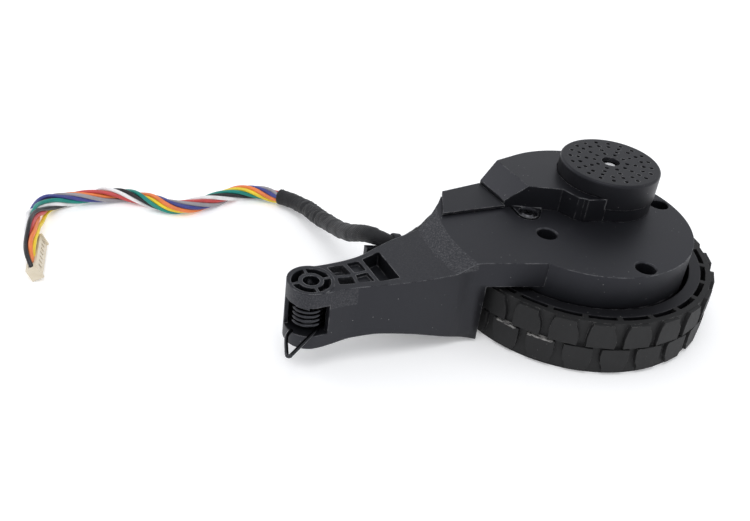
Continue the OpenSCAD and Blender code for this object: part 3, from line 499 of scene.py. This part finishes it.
@dataclass(frozen=True)
class PaleNylon(Finish):
    """Natural nylon of the gears and the connector: slightly see-through, with flow marks."""

    base: Colour = (0.74, 0.71, 0.63)
    roughness: float = 0.4
    depth: float = 0.12
    scatter_mm: float = 0.6
    scatter: Colour = (1.0, 0.8, 0.6)
    shading: Colour = (0.86, 0.82, 0.74)
    relief_mm: float = 0.01
    rounding_mm: float = 0.12

    def surface(self, g: Graph, p: Value) -> dict[str, object]:
        """Return the Principled shader's inputs."""
        flow = g.cloud(g.scaled(p, (0.5, 0.5, 1.5)), 0.4, 3.0)
        fine = g.cloud(p, 3.0, 2.0)
        shade = tuple(c * k for c, k in zip(self.base, self.shading))
        colour = g.mix(flow.ramp(0.35, 0.75) * 0.7, self.base, shade)
        return {
            "Base Color": colour,
            "Roughness": (self.roughness + (fine - 0.5) * 0.15).clamped(),
            "Subsurface Weight": self.depth,
            "Subsurface Radius": self.scatter,
            "Subsurface Scale": self.scatter_mm * MM,
            "Normal": g.bump(fine * 0.6 + flow * 0.4, self.relief_mm, self.rounding_mm),
        }


@dataclass(frozen=True)
class WireJacket(Finish):
    """Coloured insulation, fairly glossy, with a little dust and slow changes of tone."""

    roughness: float = 0.36
    depth: float = 0.05
    scatter_mm: float = 0.4
    scatter: Colour = (0.8, 0.6, 0.5)
    relief_mm: float = 0.02
    dust_colour: Colour = (0.55, 0.53, 0.5)

    def surface(self, g: Graph, p: Value) -> dict[str, object]:
        """Return the Principled shader's inputs."""
        flow = g.cloud(p, 0.25, 3.0)
        fine = g.cloud(p, 4.0, 2.0)
        dust = g.cloud(p, 1.2, 4.0, 0.7).ramp(0.6, 0.75)
        dark = tuple(c * 0.7 for c in self.base)
        colour = g.mix(flow.ramp(0.35, 0.7) * 0.6, self.base, dark)
        colour = g.mix(dust * 0.22, colour, self.dust_colour)
        return {
            "Base Color": colour,
            "Roughness": (self.roughness + (fine - 0.5) * 0.15 + dust * 0.2).clamped(),
            "Subsurface Weight": self.depth,
            "Subsurface Radius": self.scatter,
            "Subsurface Scale": self.scatter_mm * MM,
            "Normal": g.bump(fine * 0.5 + flow * 0.5, self.relief_mm),
        }


@dataclass(frozen=True)
class ClothTape(Finish):
    """Woven cloth tape: a fine weave, raised creases painted paler as a painted highlight, a matt sheen and
    lint.
    """

    base: Colour = (0.008, 0.0082, 0.0095)
    roughness: float = 0.62
    relief_mm: float = 0.12
    lint_colour: Colour = (0.3, 0.3, 0.3)

    def threads(self, g: Graph, p: Value, sideways: Number) -> Value:
        """Return one set of slanting threads; sideways is 1 or -1, for the two ways they slant."""
        at = g.scaled(p, (sideways, 1.0, 1.0))
        return g.node("ShaderNodeTexWave", {"wave_type": "BANDS", "bands_direction": "DIAGONAL"},
                      {"Vector": at, "Scale": 1.1, "Distortion": 0.6, "Detail": 1.0}, "Fac")

    def surface(self, g: Graph, p: Value) -> dict[str, object]:
        """Return the Principled shader's inputs."""
        weave = self.threads(g, p, 1.0) * self.threads(g, p, -1.0)
        creases = g.cloud(p, 0.55, 4.0, 0.65)
        lint = (1.0 - g.cells(p, 0.8).ramp(0.05, 0.09)) * creases.ramp(0.5, 0.6) * 0.6
        light = tuple(c * 2.0 + 0.004 for c in self.base)
        colour = g.mix(weave.ramp(0.05, 0.8) * 0.5, self.base, light)
        # the raised folds of the creases are painted paler: a painted highlight, not a change in the tape
        colour = g.mix(creases.ramp(0.4, 0.75) * 0.6, colour, light)
        colour = g.mix(lint, colour, self.lint_colour)
        return {
            "Base Color": colour,
            "Roughness": (self.roughness + (creases - 0.5) * 0.3).clamped(),
            "Specular IOR Level": 0.3,
            "Sheen Weight": 0.08,
            "Sheen Roughness": 0.5,
            "Normal": g.bump(weave * 0.5 + creases * 1.2, self.relief_mm),
        }


# Paths and tubes


def smooth_path(points: Sequence[Sequence[Number]], pieces: int) -> list[Vector]:
    """Draw a smooth curve through points, as the CAD source does.

    Args:
        points: The points.
        pieces: How many pieces lie between each two.

    Returns:
        The curve's points.
    """
    p = [Vector(q) for q in points]
    last = len(p) - 1
    out: list[Vector] = []
    for i in range(last):
        a, b, c, d = p[max(i - 1, 0)], p[i], p[i + 1], p[min(i + 2, last)]
        for k in range(pieces):
            t = k / pieces
            out.append(0.5 * (2 * b + (c - a) * t + (2 * a - 5 * b + 4 * c - d) * t * t
                              + (3 * b - a - 3 * c + d) * t * t * t))
    return out + [p[last]]


def length_of(path: Sequence[Vector]) -> float:
    """Return a path's length."""
    return sum((b - a).length for a, b in zip(path, path[1:]))


def evenly(path: Sequence[Vector], step: float) -> list[Vector]:
    """Return points that lie evenly on a path, about a step apart."""
    total = length_of(path)
    count = max(2, round(total / step) + 1)
    out = [path[0].copy()]
    at, gone = 0, 0.0
    for i in range(1, count - 1):
        want = total * i / (count - 1)
        while gone + (path[at + 1] - path[at]).length < want:
            gone += (path[at + 1] - path[at]).length
            at += 1
        piece = (path[at + 1] - path[at]).length
        out.append(path[at].lerp(path[at + 1], (want - gone) / piece))
    return out + [path[-1].copy()]


def frames(path: Sequence[Vector]) -> list[tuple[Vector, Vector]]:
    """Return two cross directions at each point of a path, which don't twist along it."""
    out: list[tuple[Vector, Vector]] = []
    side = Vector((0, 0, 1))
    for i in range(len(path)):
        ahead = (path[min(i + 1, len(path) - 1)] - path[max(i - 1, 0)]).normalized()
        side = side - ahead * side.dot(ahead)
        if side.length < NO_LENGTH:
            side = ahead.orthogonal()
        side.normalize()
        out.append((side.copy(), ahead.cross(side)))
    return out


def tube_mesh(
    name: str, path: Sequence[Vector], radius: Callable[[int, float], float], sides: int
) -> bpy.types.Object:
    """Build a closed tube along a path.

    Args:
        name: The piece's name.
        path: Its centre points, in metres.
        radius: The radius at a ring's number and an angle.
        sides: How many sides it has.

    Returns:
        The piece.
    """
    mesh = bmesh.new()
    rings = []
    for i, (at, (u, v)) in enumerate(zip(path, frames(path))):
        ring = []
        for k in range(sides):
            a = 2 * math.pi * k / sides
            ring.append(mesh.verts.new(at + (u * math.cos(a) + v * math.sin(a)) * radius(i, a)))
        rings.append(ring)
    for one, two in zip(rings, rings[1:]):
        for k in range(sides):
            mesh.faces.new((one[k], one[(k + 1) % sides], two[(k + 1) % sides], two[k]))
    mesh.faces.new(list(reversed(rings[0])))
    mesh.faces.new(rings[-1])
    bmesh.ops.recalc_face_normals(mesh, faces=mesh.faces)
    for f in mesh.faces:
        f.smooth = len(f.verts) == 4
    return as_object(name, mesh)


def as_object(name: str, mesh: bmesh.types.BMesh) -> bpy.types.Object:
    """Turn a finished mesh into an object, and free the mesh."""
    data = bpy.data.meshes.new(name)
    mesh.to_mesh(data)
    mesh.free()
    made = bpy.data.objects.new(name, data)
    bpy.context.scene.collection.objects.link(made)
    LOG.info("piece %s: %d faces", name, len(data.polygons))
    return made


def settle(
    piece: bpy.types.Object, body: str, material: bpy.types.Material, node: str
) -> bpy.types.Object:
    """Tie a new piece to its body, material slot and the CAD node it stands for.

    Args:
        piece: The piece.
        body: The CAD body it moves with.
        material: Its material.
        node: The CAD node it stands for.

    Returns:
        The piece.
    """
    piece.data.materials.clear()
    piece.data.materials.append(material)
    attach(piece, body)
    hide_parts(node)
    return piece


# Harness


@dataclass
class Connector:
    """Where the connector lies and how its wires come in over its wire face.

    Attributes:
        corner: The corner that its own axes start from.
        margin: How far the first wire's hole is from the near end.
        depth: The height of the wire face over the corner.
        middle: How far across the face the holes are.
        overhang: How far past the far end a wire may still be in its lane.
        lane_steps: How far before its hole a wire has its points.
        lane_merge: How far before its hole a wire leaves its lane.
        plunge: How far it goes down into its hole.
    """

    corner: Point = (-53.9, 53.5, -5.79)
    heading_deg: float = 73.0
    tilt_deg: float = -24.5
    pitch: float = 2.0
    margin: float = 1.45
    depth: float = 3.9
    middle: float = 1.4
    length: float = 16.9
    overhang: float = 0.6
    lane_steps: tuple[float, ...] = (12.0, 7.5, 4.0, 1.6)
    lane_merge: float = 5.0
    plunge: float = 0.8

    def above(self, along: float, side: float, height: float) -> Vector:
        """Return a point over the wire face.

        Args:
            along: The distance from the near end.
            side: The distance across the face.
            height: The height over it.
        """
        turn = (Matrix.Rotation(math.radians(self.heading_deg), 3, "Z")
                @ Matrix.Rotation(math.radians(self.tilt_deg), 3, "X"))
        return Vector(self.corner) + turn @ Vector((along, side, self.depth + height))

    def approach(self, wire: "Wire") -> list[Vector]:
        """Return the points of a wire along its lane over the wire face and down into its hole."""
        hole = self.margin + wire.position * self.pitch
        side, height = wire.lane
        over = []
        for away in self.lane_steps:
            if hole + away < self.length + self.overhang:
                share = min(1.0, away / self.lane_merge)
                across = self.middle + (side - self.middle) * share
                over.append(self.above(hole + away, across, height * share ** 0.5))
        return [*over, self.above(hole, self.middle, 0.0), self.above(hole, self.middle, -self.plunge)]


@dataclass(frozen=True)
class Wire:
    """One wire of the harness.

    Attributes:
        name: The name of its colour.
        colour: The colour of its insulation.
        position: Its position in the connector, from the near end.
        slip_deg: How far round the bundle it shifts on its way to the connector.
        dip: How much farther from the bundle's middle it is halfway through that shift.
        way: The points that lead it from the bundle to the connector.
        lane: Its distance across the wire face and its height over it.
    """

    name: str
    colour: Colour
    position: int
    slip_deg: float
    dip: float
    way: tuple[Point, ...]
    lane: tuple[float, float]


@dataclass
class Harness:
    """The wound sleeve and the eight twisted wires that leave it for the connector.

    Attributes:
        tape_t: The tape's thickness.
        tape_wrap: How far along the sleeve one turn of the tape goes.
        tie_point: The point of the sleeve's route where the tie sits.
        tie_pull: How far the tie draws the sleeve down into the clip.
        tie_bite: How far it presses into the tape.
        tie_reach: How far along the sleeve both are felt.
        slack_at: Where the tape is slackest, from the sleeve's end.
        slack_length: How far the slack reaches to each side.
        ring_r: The radius of the ring that the wires lie in.
        lay: How far along the bundle one turn of the twist goes.
        packed: The ring's share of its radius at the sleeve's mouth.
        packed_length: Where it has its full radius, from the start of the wires.
        slip_from: Where the wires start to shift in the bundle, from the start of the wires.
        slip_length: How far that shift takes.
        let_go: How many points of a bundled wire its own way takes the place of.
    """

    sleeve_d: float = 5.0
    tape_t: float = 0.17
    tape_wrap: float = 7.0
    tape_step: float = 0.5
    tie_point: int = 7
    tie_pull: float = 0.7
    tie_bite: float = 0.55
    tie_reach: float = 5.0
    slack_at: float = 20.0
    slack_length: float = 9.0
    wire_d: float = 1.24
    wire_step: float = 0.9
    ring_r: float = 1.62
    lay: float = 32.0
    phase_deg: float = -72.0
    packed: float = 0.68
    packed_length: float = 14.0
    slip_from: float = 52.0
    slip_length: float = 27.0
    let_go: int = 9
    connector: Connector = field(default_factory=Connector)
    sleeve_route: tuple[Point, ...] = (
        (68, 19.4, 15.8), (62, 19.6, 15.8), (57, 19.5, 15.8), (52, 18.7, 15.6), (47.5, 17.4, 14.7),
        (43, 16.6, 12), (38.5, 16.7, 10.4), (34.2, 16.8, 11), (30.5, 18.2, 12), (28.4, 20.6, 11.9),
        (27.3, 23.6, 10.9), (26.7, 27.8, 8.4), (27.1, 34.3, 5.2), (27.6, 39.4, 3.2), (28.1, 46.6, 0.9),
        (28.4, 53.3, -1), (28.5, 60.6, -2.6), (27.5, 65.7, -3.5), (26.2, 69, -3.9), (24.1, 72.1, -4.2))
    wire_route: tuple[Point, ...] = (
        (24.1, 72.1, -4.2), (19.5, 76.7, -4.6), (14.5, 79.6, -4.7), (7.8, 78.3, -4.7), (1.3, 76.6, -4.7),
        (-5, 75.3, -4.7), (-10.2, 76.8, -4.7), (-14.1, 82, -4.7), (-18.5, 86.2, -4.7), (-23.3, 89.3, -4.7),
        (-28.5, 90.4, -4.7), (-34, 90.4, -4.7), (-39.3, 90.8, -4.7), (-44.3, 89.9, -4.5))
    wires: tuple[Wire, ...] = (
        Wire("red", (0.6, 0.065, 0.065), 3, 0, 0,
             ((-46.5, 85, -4), (-50, 78.5, -1.5), (-52.5, 69.5, 0.5)), (1.5, 2.1)),
        Wire("white", (0.88, 0.87, 0.87), 4, 70, -0.3,
             ((-47, 85.5, -3), (-51, 80, -1), (-53, 72, 0.5)), (2.9, 2.1)),
        Wire("black", (0.012, 0.011, 0.014), 0, 0, -0.4,
             ((-47, 83.5, -3), (-51, 78, -0.5), (-53.5, 68.5, 1.5)), (2.2, 2.9)),
        Wire("green", (0, 0.26, 0.21), 5, 45, 0,
             ((-46, 87, -2), (-49.5, 83, -1.5), (-52, 76, -1)), (1.9, 1.8)),
        Wire("yellow", (0.9, 0.68, 0.03), 2, -135, -1.4,
             ((-45, 88, -6), (-48.5, 78, -4)), (0.9, 1.7)),
        Wire("orange", (0.88, 0.23, 0.06), 1, 90, -0.6,
             ((-45.5, 87.5, -4.5), (-49, 81, -2.5), (-52, 70.5, 0)), (1, 2.6)),
        Wire("blue", (0.05, 0.06, 0.27), 6, -45, 0.4,
             ((-44, 92, -3), (-48, 88, -2.5), (-51, 79, -2)), (1.4, 1.7)),
        Wire("grey", (0.34, 0.32, 0.34), 7, -45, 0.4,
             ((-44, 92, -4), (-47.5, 88, -3.5), (-50.5, 79, -2.5)), (1.2, 1.5)))

    def tape_radius(self, along: float, angle: float, total: float, tied: float) -> float:
        """Return the radius of the wound tape at one point.

        Args:
            along: The distance along the sleeve.
            angle: The angle round it, in radians.
            total: The sleeve's length.
            tied: Where the tie sits along it.
        """
        x, y = math.cos(angle), math.sin(angle)
        left = total - along
        # each turn of tape stands up at its edge and slopes back to the turn under it
        turn = (along / self.tape_wrap + angle / (2 * math.pi)) % 1.0
        lap = self.tape_t * (1.0 - turn) ** 1.5
        # low folds everywhere, and sharp ridges between creases where the tape is slack
        fold = self.tape_t * noise.noise(Vector((along * 0.16, x * 1.3, y * 1.3)))
        crease = noise.noise(Vector((along * 0.75 + x * 0.5, x * 0.8 + 7, y * 0.8)))
        slack = math.exp(-((left - self.slack_at) / self.slack_length) ** 2)
        ridge = (0.06 + 0.3 * slack) * (1.0 - 2.8 * abs(crease))
        pinched = self.tie_bite * self.pinch(along - tied)
        rolled_end = min(1.0, left / 0.6 + 0.86)
        return (self.sleeve_d / 2 - 0.16 + lap + fold + ridge - pinched) * rolled_end

    def build_sleeve(self) -> None:
        """Wind the cloth tape round the wires and tie it to the arm's clip."""
        step = self.tape_step
        path = evenly(smooth_path(self.sleeve_route, pieces=4), step)
        total = (len(path) - 1) * step
        clip = Vector(self.sleeve_route[self.tie_point])
        ring = min(range(len(path)), key=lambda i: (path[i] - clip).length)
        for i, q in enumerate(path):
            q.z -= self.pinch((i - ring) * step) * self.tie_pull
        points = [q * MM for q in path]
        piece = tube_mesh(
            "harness_tape", points,
            lambda i, a: self.tape_radius(i * step, a, total, ring * step) * MM, sides=32)
        settle(piece, "arm", ClothTape("cloth_tape").build(), "harness_sleeve")
        tie = self.build_tie(path[ring], (path[ring + 2] - path[ring - 2]).normalized())
        length_of(points)

    def pinch(self, away: float) -> float:
        """Return how much of the tie's pull is felt that far from it along the sleeve, from 0 to 1."""
        return math.exp(-(away / self.tie_reach) ** 2)

    def build_tie(self, at: Vector, ahead: Vector) -> bpy.types.Object:
        """Draw a cable tie round the sleeve, with its lock below.

        Args:
            at: Its centre.
            ahead: The sleeve's direction there.

        Returns:
            The tie.
        """
        sides = 40
        half, slant, chamfer = 1.15, 0.2, 0.25
        inner, outer = self.sleeve_d / 2 - 0.5, self.sleeve_d / 2 + 0.25
        lock_size, lock_rise, lock_rounding = (3.0, 2.6, 1.6), 0.4, 0.3
        mesh = bmesh.new()
        u = (Vector((0, 0, 1)) - ahead * ahead.z).normalized()
        v = ahead.cross(u)
        corner = [(inner, -half), (inner, half), (outer - slant, half), (outer, half - chamfer),
                  (outer, chamfer - half), (outer - slant, -half)]
        rings = []
        for k in range(sides):
            a = 2 * math.pi * k / sides
            out = u * math.cos(a) + v * math.sin(a)
            rings.append([mesh.verts.new((at + out * r + ahead * w) * MM) for r, w in corner])
        for k in range(sides):
            one, two = rings[k], rings[(k + 1) % sides]
            for j in range(len(corner)):
                n = (j + 1) % len(corner)
                mesh.faces.new((one[j], one[n], two[n], two[j]))
        # the lock is a block with rounded edges, turned a little to one side
        lock = bmesh.ops.create_cube(mesh, size=1.0)["verts"]
        down = -u * 0.8 + v * 0.6
        across = ahead.cross(down)
        turn = Matrix((ahead, across, down)).transposed()
        for vert in lock:
            own = Vector([c * size for c, size in zip(vert.co, lock_size)])
            vert.co = (at + down * (outer + lock_rise) + turn @ own) * MM
        faces = {f for vert in lock for f in vert.link_faces}
        rim = list({e for f in faces for e in f.edges})
        bmesh.ops.bevel(mesh, geom=rim, offset=lock_rounding * MM, segments=2, affect="EDGES")
        bmesh.ops.recalc_face_normals(mesh, faces=mesh.faces)
        tie = as_object("tie_band", mesh)
        material = MouldedPlastic("tie_shell", (0.005, 0.005, 0.0055), 0.5, dust=0.3, wear_and_highlight=0.1).build()
        return settle(tie, "arm", material, "cable_tie")

    def strand(self, number: int, wire: Wire) -> list[Vector]:
        """Lay one wire in the twist and lead it over the connector into its hole.

        Args:
            number: Its place in the ring of wires.
            wire: The wire.

        Returns:
            The wire's points.
        """
        inside = [Vector(q) for q in self.sleeve_route[-3:-1]]
        path = evenly(smooth_path([*inside, *self.wire_route], pieces=6), self.wire_step)
        out: list[Vector] = []
        for i, (at, (u, v)) in enumerate(zip(path, frames(path))):
            s = i * self.wire_step
            moved = min(1.0, max(0.0, (s - self.slip_from) / self.slip_length))
            # neither the twist nor the ring is quite even
            a = math.radians(self.phase_deg) + 2 * math.pi * (s / self.lay + number / len(self.wires))
            a += 0.4 * noise.noise(Vector((s * 0.03, number * 5.7, 9.5)))
            a += math.radians(wire.slip_deg) * moved * moved * (3.0 - 2.0 * moved)
            loose = 1.0 + 0.24 * noise.noise(Vector((s * 0.05, number * 3.1, 0.5)))
            opened = min(1.0, self.packed + (1.0 - self.packed) * s / self.packed_length)
            ring = self.ring_r * loose * opened + wire.dip * math.sin(math.pi * moved)
            out.append(self.lift(at + u * math.cos(a) * ring + v * math.sin(a) * ring))
        start = [out[-self.let_go], out[-(self.let_go // 2)]]
        way_out = [*map(Vector, wire.way), *self.connector.approach(wire)]
        joined = smooth_path([*start, *way_out], pieces=12)
        return evenly(out[:-self.let_go] + joined, self.wire_step)

    def lift(self, point: Vector) -> Vector:
        """Return a wire's point, moved up where the wire would go below the floor."""
        point.z = max(point.z, FLOOR_Z + self.wire_d / 2)
        return point

    def relax(
        self, strands: list[list[Vector]], rounds: int = 24, ease: float = 0.4, give: float = 0.35,
        held: int = 2, mouth: int = 10
    ) -> None:
        """Let the wires spring straighter and press one another apart.

        Args:
            strands: The wires' points, in millimetres; they are moved.
            rounds: How often each point gives way.
            ease: How much of the way to the middle of its neighbours a point goes each time.
            give: How much of an overlap is undone each time.
            held: How many points at the start stay where they are.
            mouth: How many points lie in the sleeve's mouth, where the wires stay packed.
        """
        for _ in range(rounds):
            for pts in strands:
                for i in range(held, len(pts) - 1):
                    pts[i] = pts[i] * (1.0 - ease) + (pts[i - 1] + pts[i + 1]) * (ease / 2)
            owner = [(pts, i) for pts in strands for i in range(len(pts))]
            near = kdtree.KDTree(len(owner))
            for k, (pts, i) in enumerate(owner):
                near.insert(pts[i], k)
            near.balance()
            for pts in strands:
                for i in range(held, len(pts) - 1):
                    push = Vector()
                    for co, k, gap in near.find_range(pts[i], self.wire_d) if i >= mouth else ():
                        if owner[k][0] is not pts and gap > 0.01:
                            push += (pts[i] - co) * (give * (self.wire_d - gap) / gap)
                    pts[i] = self.lift(pts[i] + push)

    def build_wires(self) -> None:
        """Make the eight wires."""
        strands = [self.strand(number, wire) for number, wire in enumerate(self.wires)]
        self.relax(strands)
        for wire, strand in zip(self.wires, strands):
            points = [q * MM for q in strand]
            piece = tube_mesh("wire_" + wire.name, points, lambda i, a: self.wire_d / 2 * MM, sides=10)
            jacket = WireJacket("jacket_" + wire.name, wire.colour).build()
            settle(piece, "arm", jacket, "wire_bundle")
            length_of(points)


# Spring


@dataclass
class TorsionSpring:
    """The wire of the torsion spring, round where the CAD wire has flats.

    Attributes:
        turns: The turns of the coil.
        leg_turns: The turns of wire that move with the leg.
        gap: The turns of wire left out between the leg and the coil.
        tail: The straight end of the coil.
        hook: The leg's outline, seen from above.
    """

    wire_d: float = 1.0
    coil_r: float = 3.9
    turns: float = 4.432
    pitch: float = 1.37
    leg_deg: float = -56.0
    leg_z: float = 4.7
    leg_turns: float = 0.3
    gap: float = 0.05
    tail: float = 1.6
    sides: int = 14
    coil_rings: int = 160
    bend_rings: int = 14
    hook: tuple[tuple[Number, Number], ...] = (
        (-8.6, -10.6), (-10.1, -11.5), (-10.5, -10.9), (-9.8, -9), (-8.5, -5.9), (-7.4, -4), (-5.6, -2.5))

    def winding(self, start: float, turns: float, rings: int) -> list[Vector]:
        """Return the points of a stretch of the coil.

        Args:
            start: How many turns up it starts.
            turns: How many turns it has.
            rings: How many pieces it is cut into.
        """
        out = []
        for i in range(rings + 1):
            turn = start + turns * i / rings
            a = math.radians(self.leg_deg) + 2 * math.pi * turn
            x, y = self.coil_r * math.cos(a), self.coil_r * math.sin(a)
            out.append(Vector((x, y, self.leg_z + self.pitch * turn)))
        return out

    def draw(
        self, name: str, path: Sequence[Vector], steel: bpy.types.Material, body: str, node: str
    ) -> None:
        """Draw one length of the wire.

        Args:
            name: The piece's name.
            path: Its points, in millimetres.
            steel: Its material.
            body: The CAD body it moves with.
            node: The CAD node it stands for.
        """
        piece = tube_mesh(name, [q * MM for q in path], lambda i, a: self.wire_d / 2 * MM, self.sides)
        settle(piece, body, steel, node)

    def build(self) -> None:
        """Make the coil and the leg."""
        steel = Metal("spring_wire", (0.05, 0.051, 0.056), 0.16, (1.0, 1.0, 1.0), 0.4).build()
        first = self.leg_turns + self.gap
        coil = self.winding(first, self.turns, self.coil_rings)
        a = math.radians(self.leg_deg) + 2 * math.pi * (first + self.turns)
        coil.append(coil[-1] + Vector((-math.sin(a), math.cos(a), 0)) * self.tail)
        self.draw("spring_wire_coil", coil, steel, "arm", "spring_coil")
        bend = self.winding(self.leg_turns, -self.leg_turns, self.bend_rings)
        hook = [Vector((x, y, self.leg_z)) for x, y in self.hook]
        leg = bend[:-1] + smooth_path([bend[-1], *hook], pieces=6)
        self.draw("spring_wire_leg", leg, steel, "spring_leg", "spring_leg")


# Finishes of the CAD nodes


class Wardrobe:
    """Gives its finish to each CAD node that no new piece stands for."""

    def __init__(self) -> None:
        """Choose the finishes."""
        bright = Metal("ground_steel", (0.62, 0.63, 0.65), 0.24)
        nylon = PaleNylon("gear_nylon")
        pivot = (0.0, 0.0)
        ramp = Band(RAMP, inner=44.5, outer=50.8, low=16.72, high=18.8)
        arm_top = Band(RAMP, inner=50.8, outer=69.0, low=16.6, high=16.72, soft=0.1)
        pockets = Band(pivot, inner=5.8, outer=12.0, low=11.5, high=16.4)
        shell = MouldedPlastic(
            "arm_shell", (0.0042, 0.0044, 0.0056), 0.46,
            powdered=((ramp, 1.0), (arm_top, 0.25), (pockets, 0.6)),
            polished=Band(pivot, inner=1.6, outer=2.6, low=-1.0, high=16.8),
            turned_in=Band(WHEEL, inner=41.8, outer=46.0, low=-8.0, high=11.4, soft=0.8))
        self.of: dict[str, Finish] = {
            "arm_case": shell,
            "gear_case_cover": shell,
            "motor_cover": MouldedPlastic(
                "cover_shell", (0.0034, 0.0035, 0.0045), 0.36, dust=0.6, wear_and_highlight=0.9, sheen=0.34),
            "motor_cap": MouldedPlastic("cap_shell", (0.0034, 0.0034, 0.0042), 0.4, dust=0.6, sheen=0.3),
            "cable_cover": MouldedPlastic("flap_shell", (0.0038, 0.004, 0.005), 0.44, sheen=0.34),
            "wheel_hub": MouldedPlastic("hub_shell", (0.0028, 0.0028, 0.0034), 0.5, wear_and_highlight=0.2, sheen=0.3),
            "tyre": TyreRubber(
                "tyre_rubber", scuffs=(Sector(WHEEL, -161, -151.5), Sector(WHEEL, -147, -136))),
            "case_screws": Metal("blackened_screw", (0.05, 0.05, 0.054), 0.36),
            "cover_screw": Metal("dark_screw", (0.07, 0.07, 0.076), 0.34),
            **dict.fromkeys(
                ("output_shaft", "wheel_bearings", "gear_axles", "motor_bearings", "hub_screw"), bright),
            "motor_shaft": Metal("shaft_end", (0.95, 0.95, 0.95), 0.55),
            **dict.fromkeys(("output_gear", "stage_one_gear", "stage_two_gear"), nylon),
            "motor_pinion": Metal("pinion_brass", (0.72, 0.52, 0.24), 0.28),
            "rotor_bell": Metal("bell_metal", (0.42, 0.43, 0.45), 0.32),
            "rotor_magnets": Metal("magnet_coat", (0.2, 0.19, 0.18), 0.5),
            "stator_core": Metal("lamination", (0.4, 0.41, 0.42), 0.4, (0.2, 0.2, 30.0)),
            "stator_coils": Metal("winding", (0.6, 0.27, 0.12), 0.34, (1.0, 1.0, 18.0)),
            "motor_base": Metal("base_metal", (0.5, 0.51, 0.52), 0.34),
            "sensor_board": MouldedPlastic("board", (0.02, 0.13, 0.07), 0.35, dust=0.2, wear_and_highlight=0.0),
            "connector_housing": PaleNylon("connector_nylon", (0.72, 0.64, 0.5), 0.34, 0.06),
            "connector_contacts": Metal("tinned_contact", (0.7, 0.68, 0.62), 0.3),
        }

    def dress(self) -> None:
        """Give each node its material, which is made once for each finish."""
        made: dict[str, bpy.types.Material] = {}
        for name, finish in self.of.items():
            if finish.name not in made:
                made[finish.name] = finish.build()
            slots = NODES[name].data.materials
            slots.clear()
            slots.append(made[finish.name])
            LOG.info("node %s wears %s", name, finish.name)


# Studio


@dataclass
class Studio:
    """The camera at the photograph's angle, a pale floor and soft light.

    The camera's place is in millimetres, its angles are in radians, and the floor is in metres.
    """

    camera_at: Point = (-91.86, -171.43, 153.81)
    azimuth: float = -0.568477
    elevation: float = 0.585429
    roll: float = 0.135431
    focal_px: float = 966.12
    width_px: int = 750
    sensor_mm: float = 36.0
    near: float = 0.01
    far: float = 10.0
    floor_middle: tuple[float, float] = (0.03, 0.03)
    floor_reach: float = 2.5
    floor_glow: float = 0.22
    sky_colour: tuple[float, ...] = (0.965, 0.98, 1.015, 1.0)
    sky_strength: float = 0.8

    def camera(self) -> None:
        """Set up the camera."""
        az, el, roll = self.azimuth, self.elevation, self.roll
        back = Vector((math.sin(az) * math.cos(el), -math.cos(az) * math.cos(el), math.sin(el)))
        right = Vector((math.cos(az), math.sin(az), 0.0))
        up = back.cross(right)
        side = right * math.cos(roll) + up * math.sin(roll)
        top = up * math.cos(roll) - right * math.sin(roll)
        data = bpy.data.cameras.new("camera")
        data.sensor_fit = "HORIZONTAL"
        data.sensor_width = self.sensor_mm
        data.lens = self.focal_px * self.sensor_mm / self.width_px
        data.clip_start, data.clip_end = self.near, self.far
        eye = bpy.data.objects.new("camera", data)
        turn = Matrix((side, top, back)).transposed().to_4x4()
        eye.matrix_world = Matrix.Translation(Vector(self.camera_at) * MM) @ turn
        bpy.context.scene.collection.objects.link(eye)
        bpy.context.scene.camera = eye
        LOG.info("camera: lens %.2f mm", data.lens)

    def floor(self) -> None:
        """Lay a pale floor under the part."""
        mesh = bmesh.new()
        bmesh.ops.create_grid(mesh, x_segments=1, y_segments=1, size=self.floor_reach)
        made = as_object("floor", mesh)
        made.location = (*self.floor_middle, FLOOR_Z * MM)
        g = Graph("pale_floor")
        tone = g.cloud(g.place(), 0.004, 2.0)
        made.data.materials.append(g.finish({
            "Base Color": g.mix(tone.ramp(0.3, 0.7), (0.93, 0.93, 0.93), (0.95, 0.95, 0.95)),
            "Roughness": 0.85,
            "Specular IOR Level": 0.15,
            "Emission Color": (1.0, 1.0, 1.0),
            "Emission Strength": self.floor_glow,
        }))

    def lamp(self, name: str, at: Sequence[Number], aim: Sequence[Number], size: float, power: float) -> None:
        """Hang a soft lamp.

        Args:
            name: Its name.
            at: Where it hangs, in metres.
            aim: What it points at, in metres.
            size: The length of its side, in metres.
            power: Its power, in watts.
        """
        data = bpy.data.lights.new(name, "AREA")
        data.shape, data.size, data.energy = "SQUARE", size, power
        made = bpy.data.objects.new(name, data)
        made.location = Vector(at)
        made.rotation_euler = (Vector(aim) - Vector(at)).to_track_quat("-Z", "Y").to_euler()
        bpy.context.scene.collection.objects.link(made)

    def light(self) -> None:
        """Light the part from above, with weaker lamps at the sides and even light all round."""
        world = bpy.data.worlds.new("studio")
        world.use_nodes = True
        sky = world.node_tree.nodes["Background"].inputs
        sky["Color"].default_value = self.sky_colour
        sky["Strength"].default_value = self.sky_strength
        bpy.context.scene.world = world
        self.lamp("over", at=(-0.1, -0.2, 0.8), aim=(0.04, 0.03, 0.0), size=0.45, power=1.6)
        self.lamp("side", at=(0.65, -0.3, 0.5), aim=(0.08, 0.0, 0.01), size=0.3, power=0.35)
        self.lamp("left", at=(-0.35, 0.6, 0.42), aim=(0.06, 0.0, 0.01), size=0.3, power=0.7)
        scene = bpy.context.scene
        scene.view_settings.view_transform = "Standard"
        scene.view_settings.look = "None"


def main() -> None:
    """Build everything."""
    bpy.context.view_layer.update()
    studio = Studio()
    studio.camera()
    harness = Harness()
    harness.build_sleeve()
    harness.build_wires()
    Wardrobe().dress()
    TorsionSpring().build()
    studio.floor()
    studio.light()


if __name__ == "__main__":
    main()
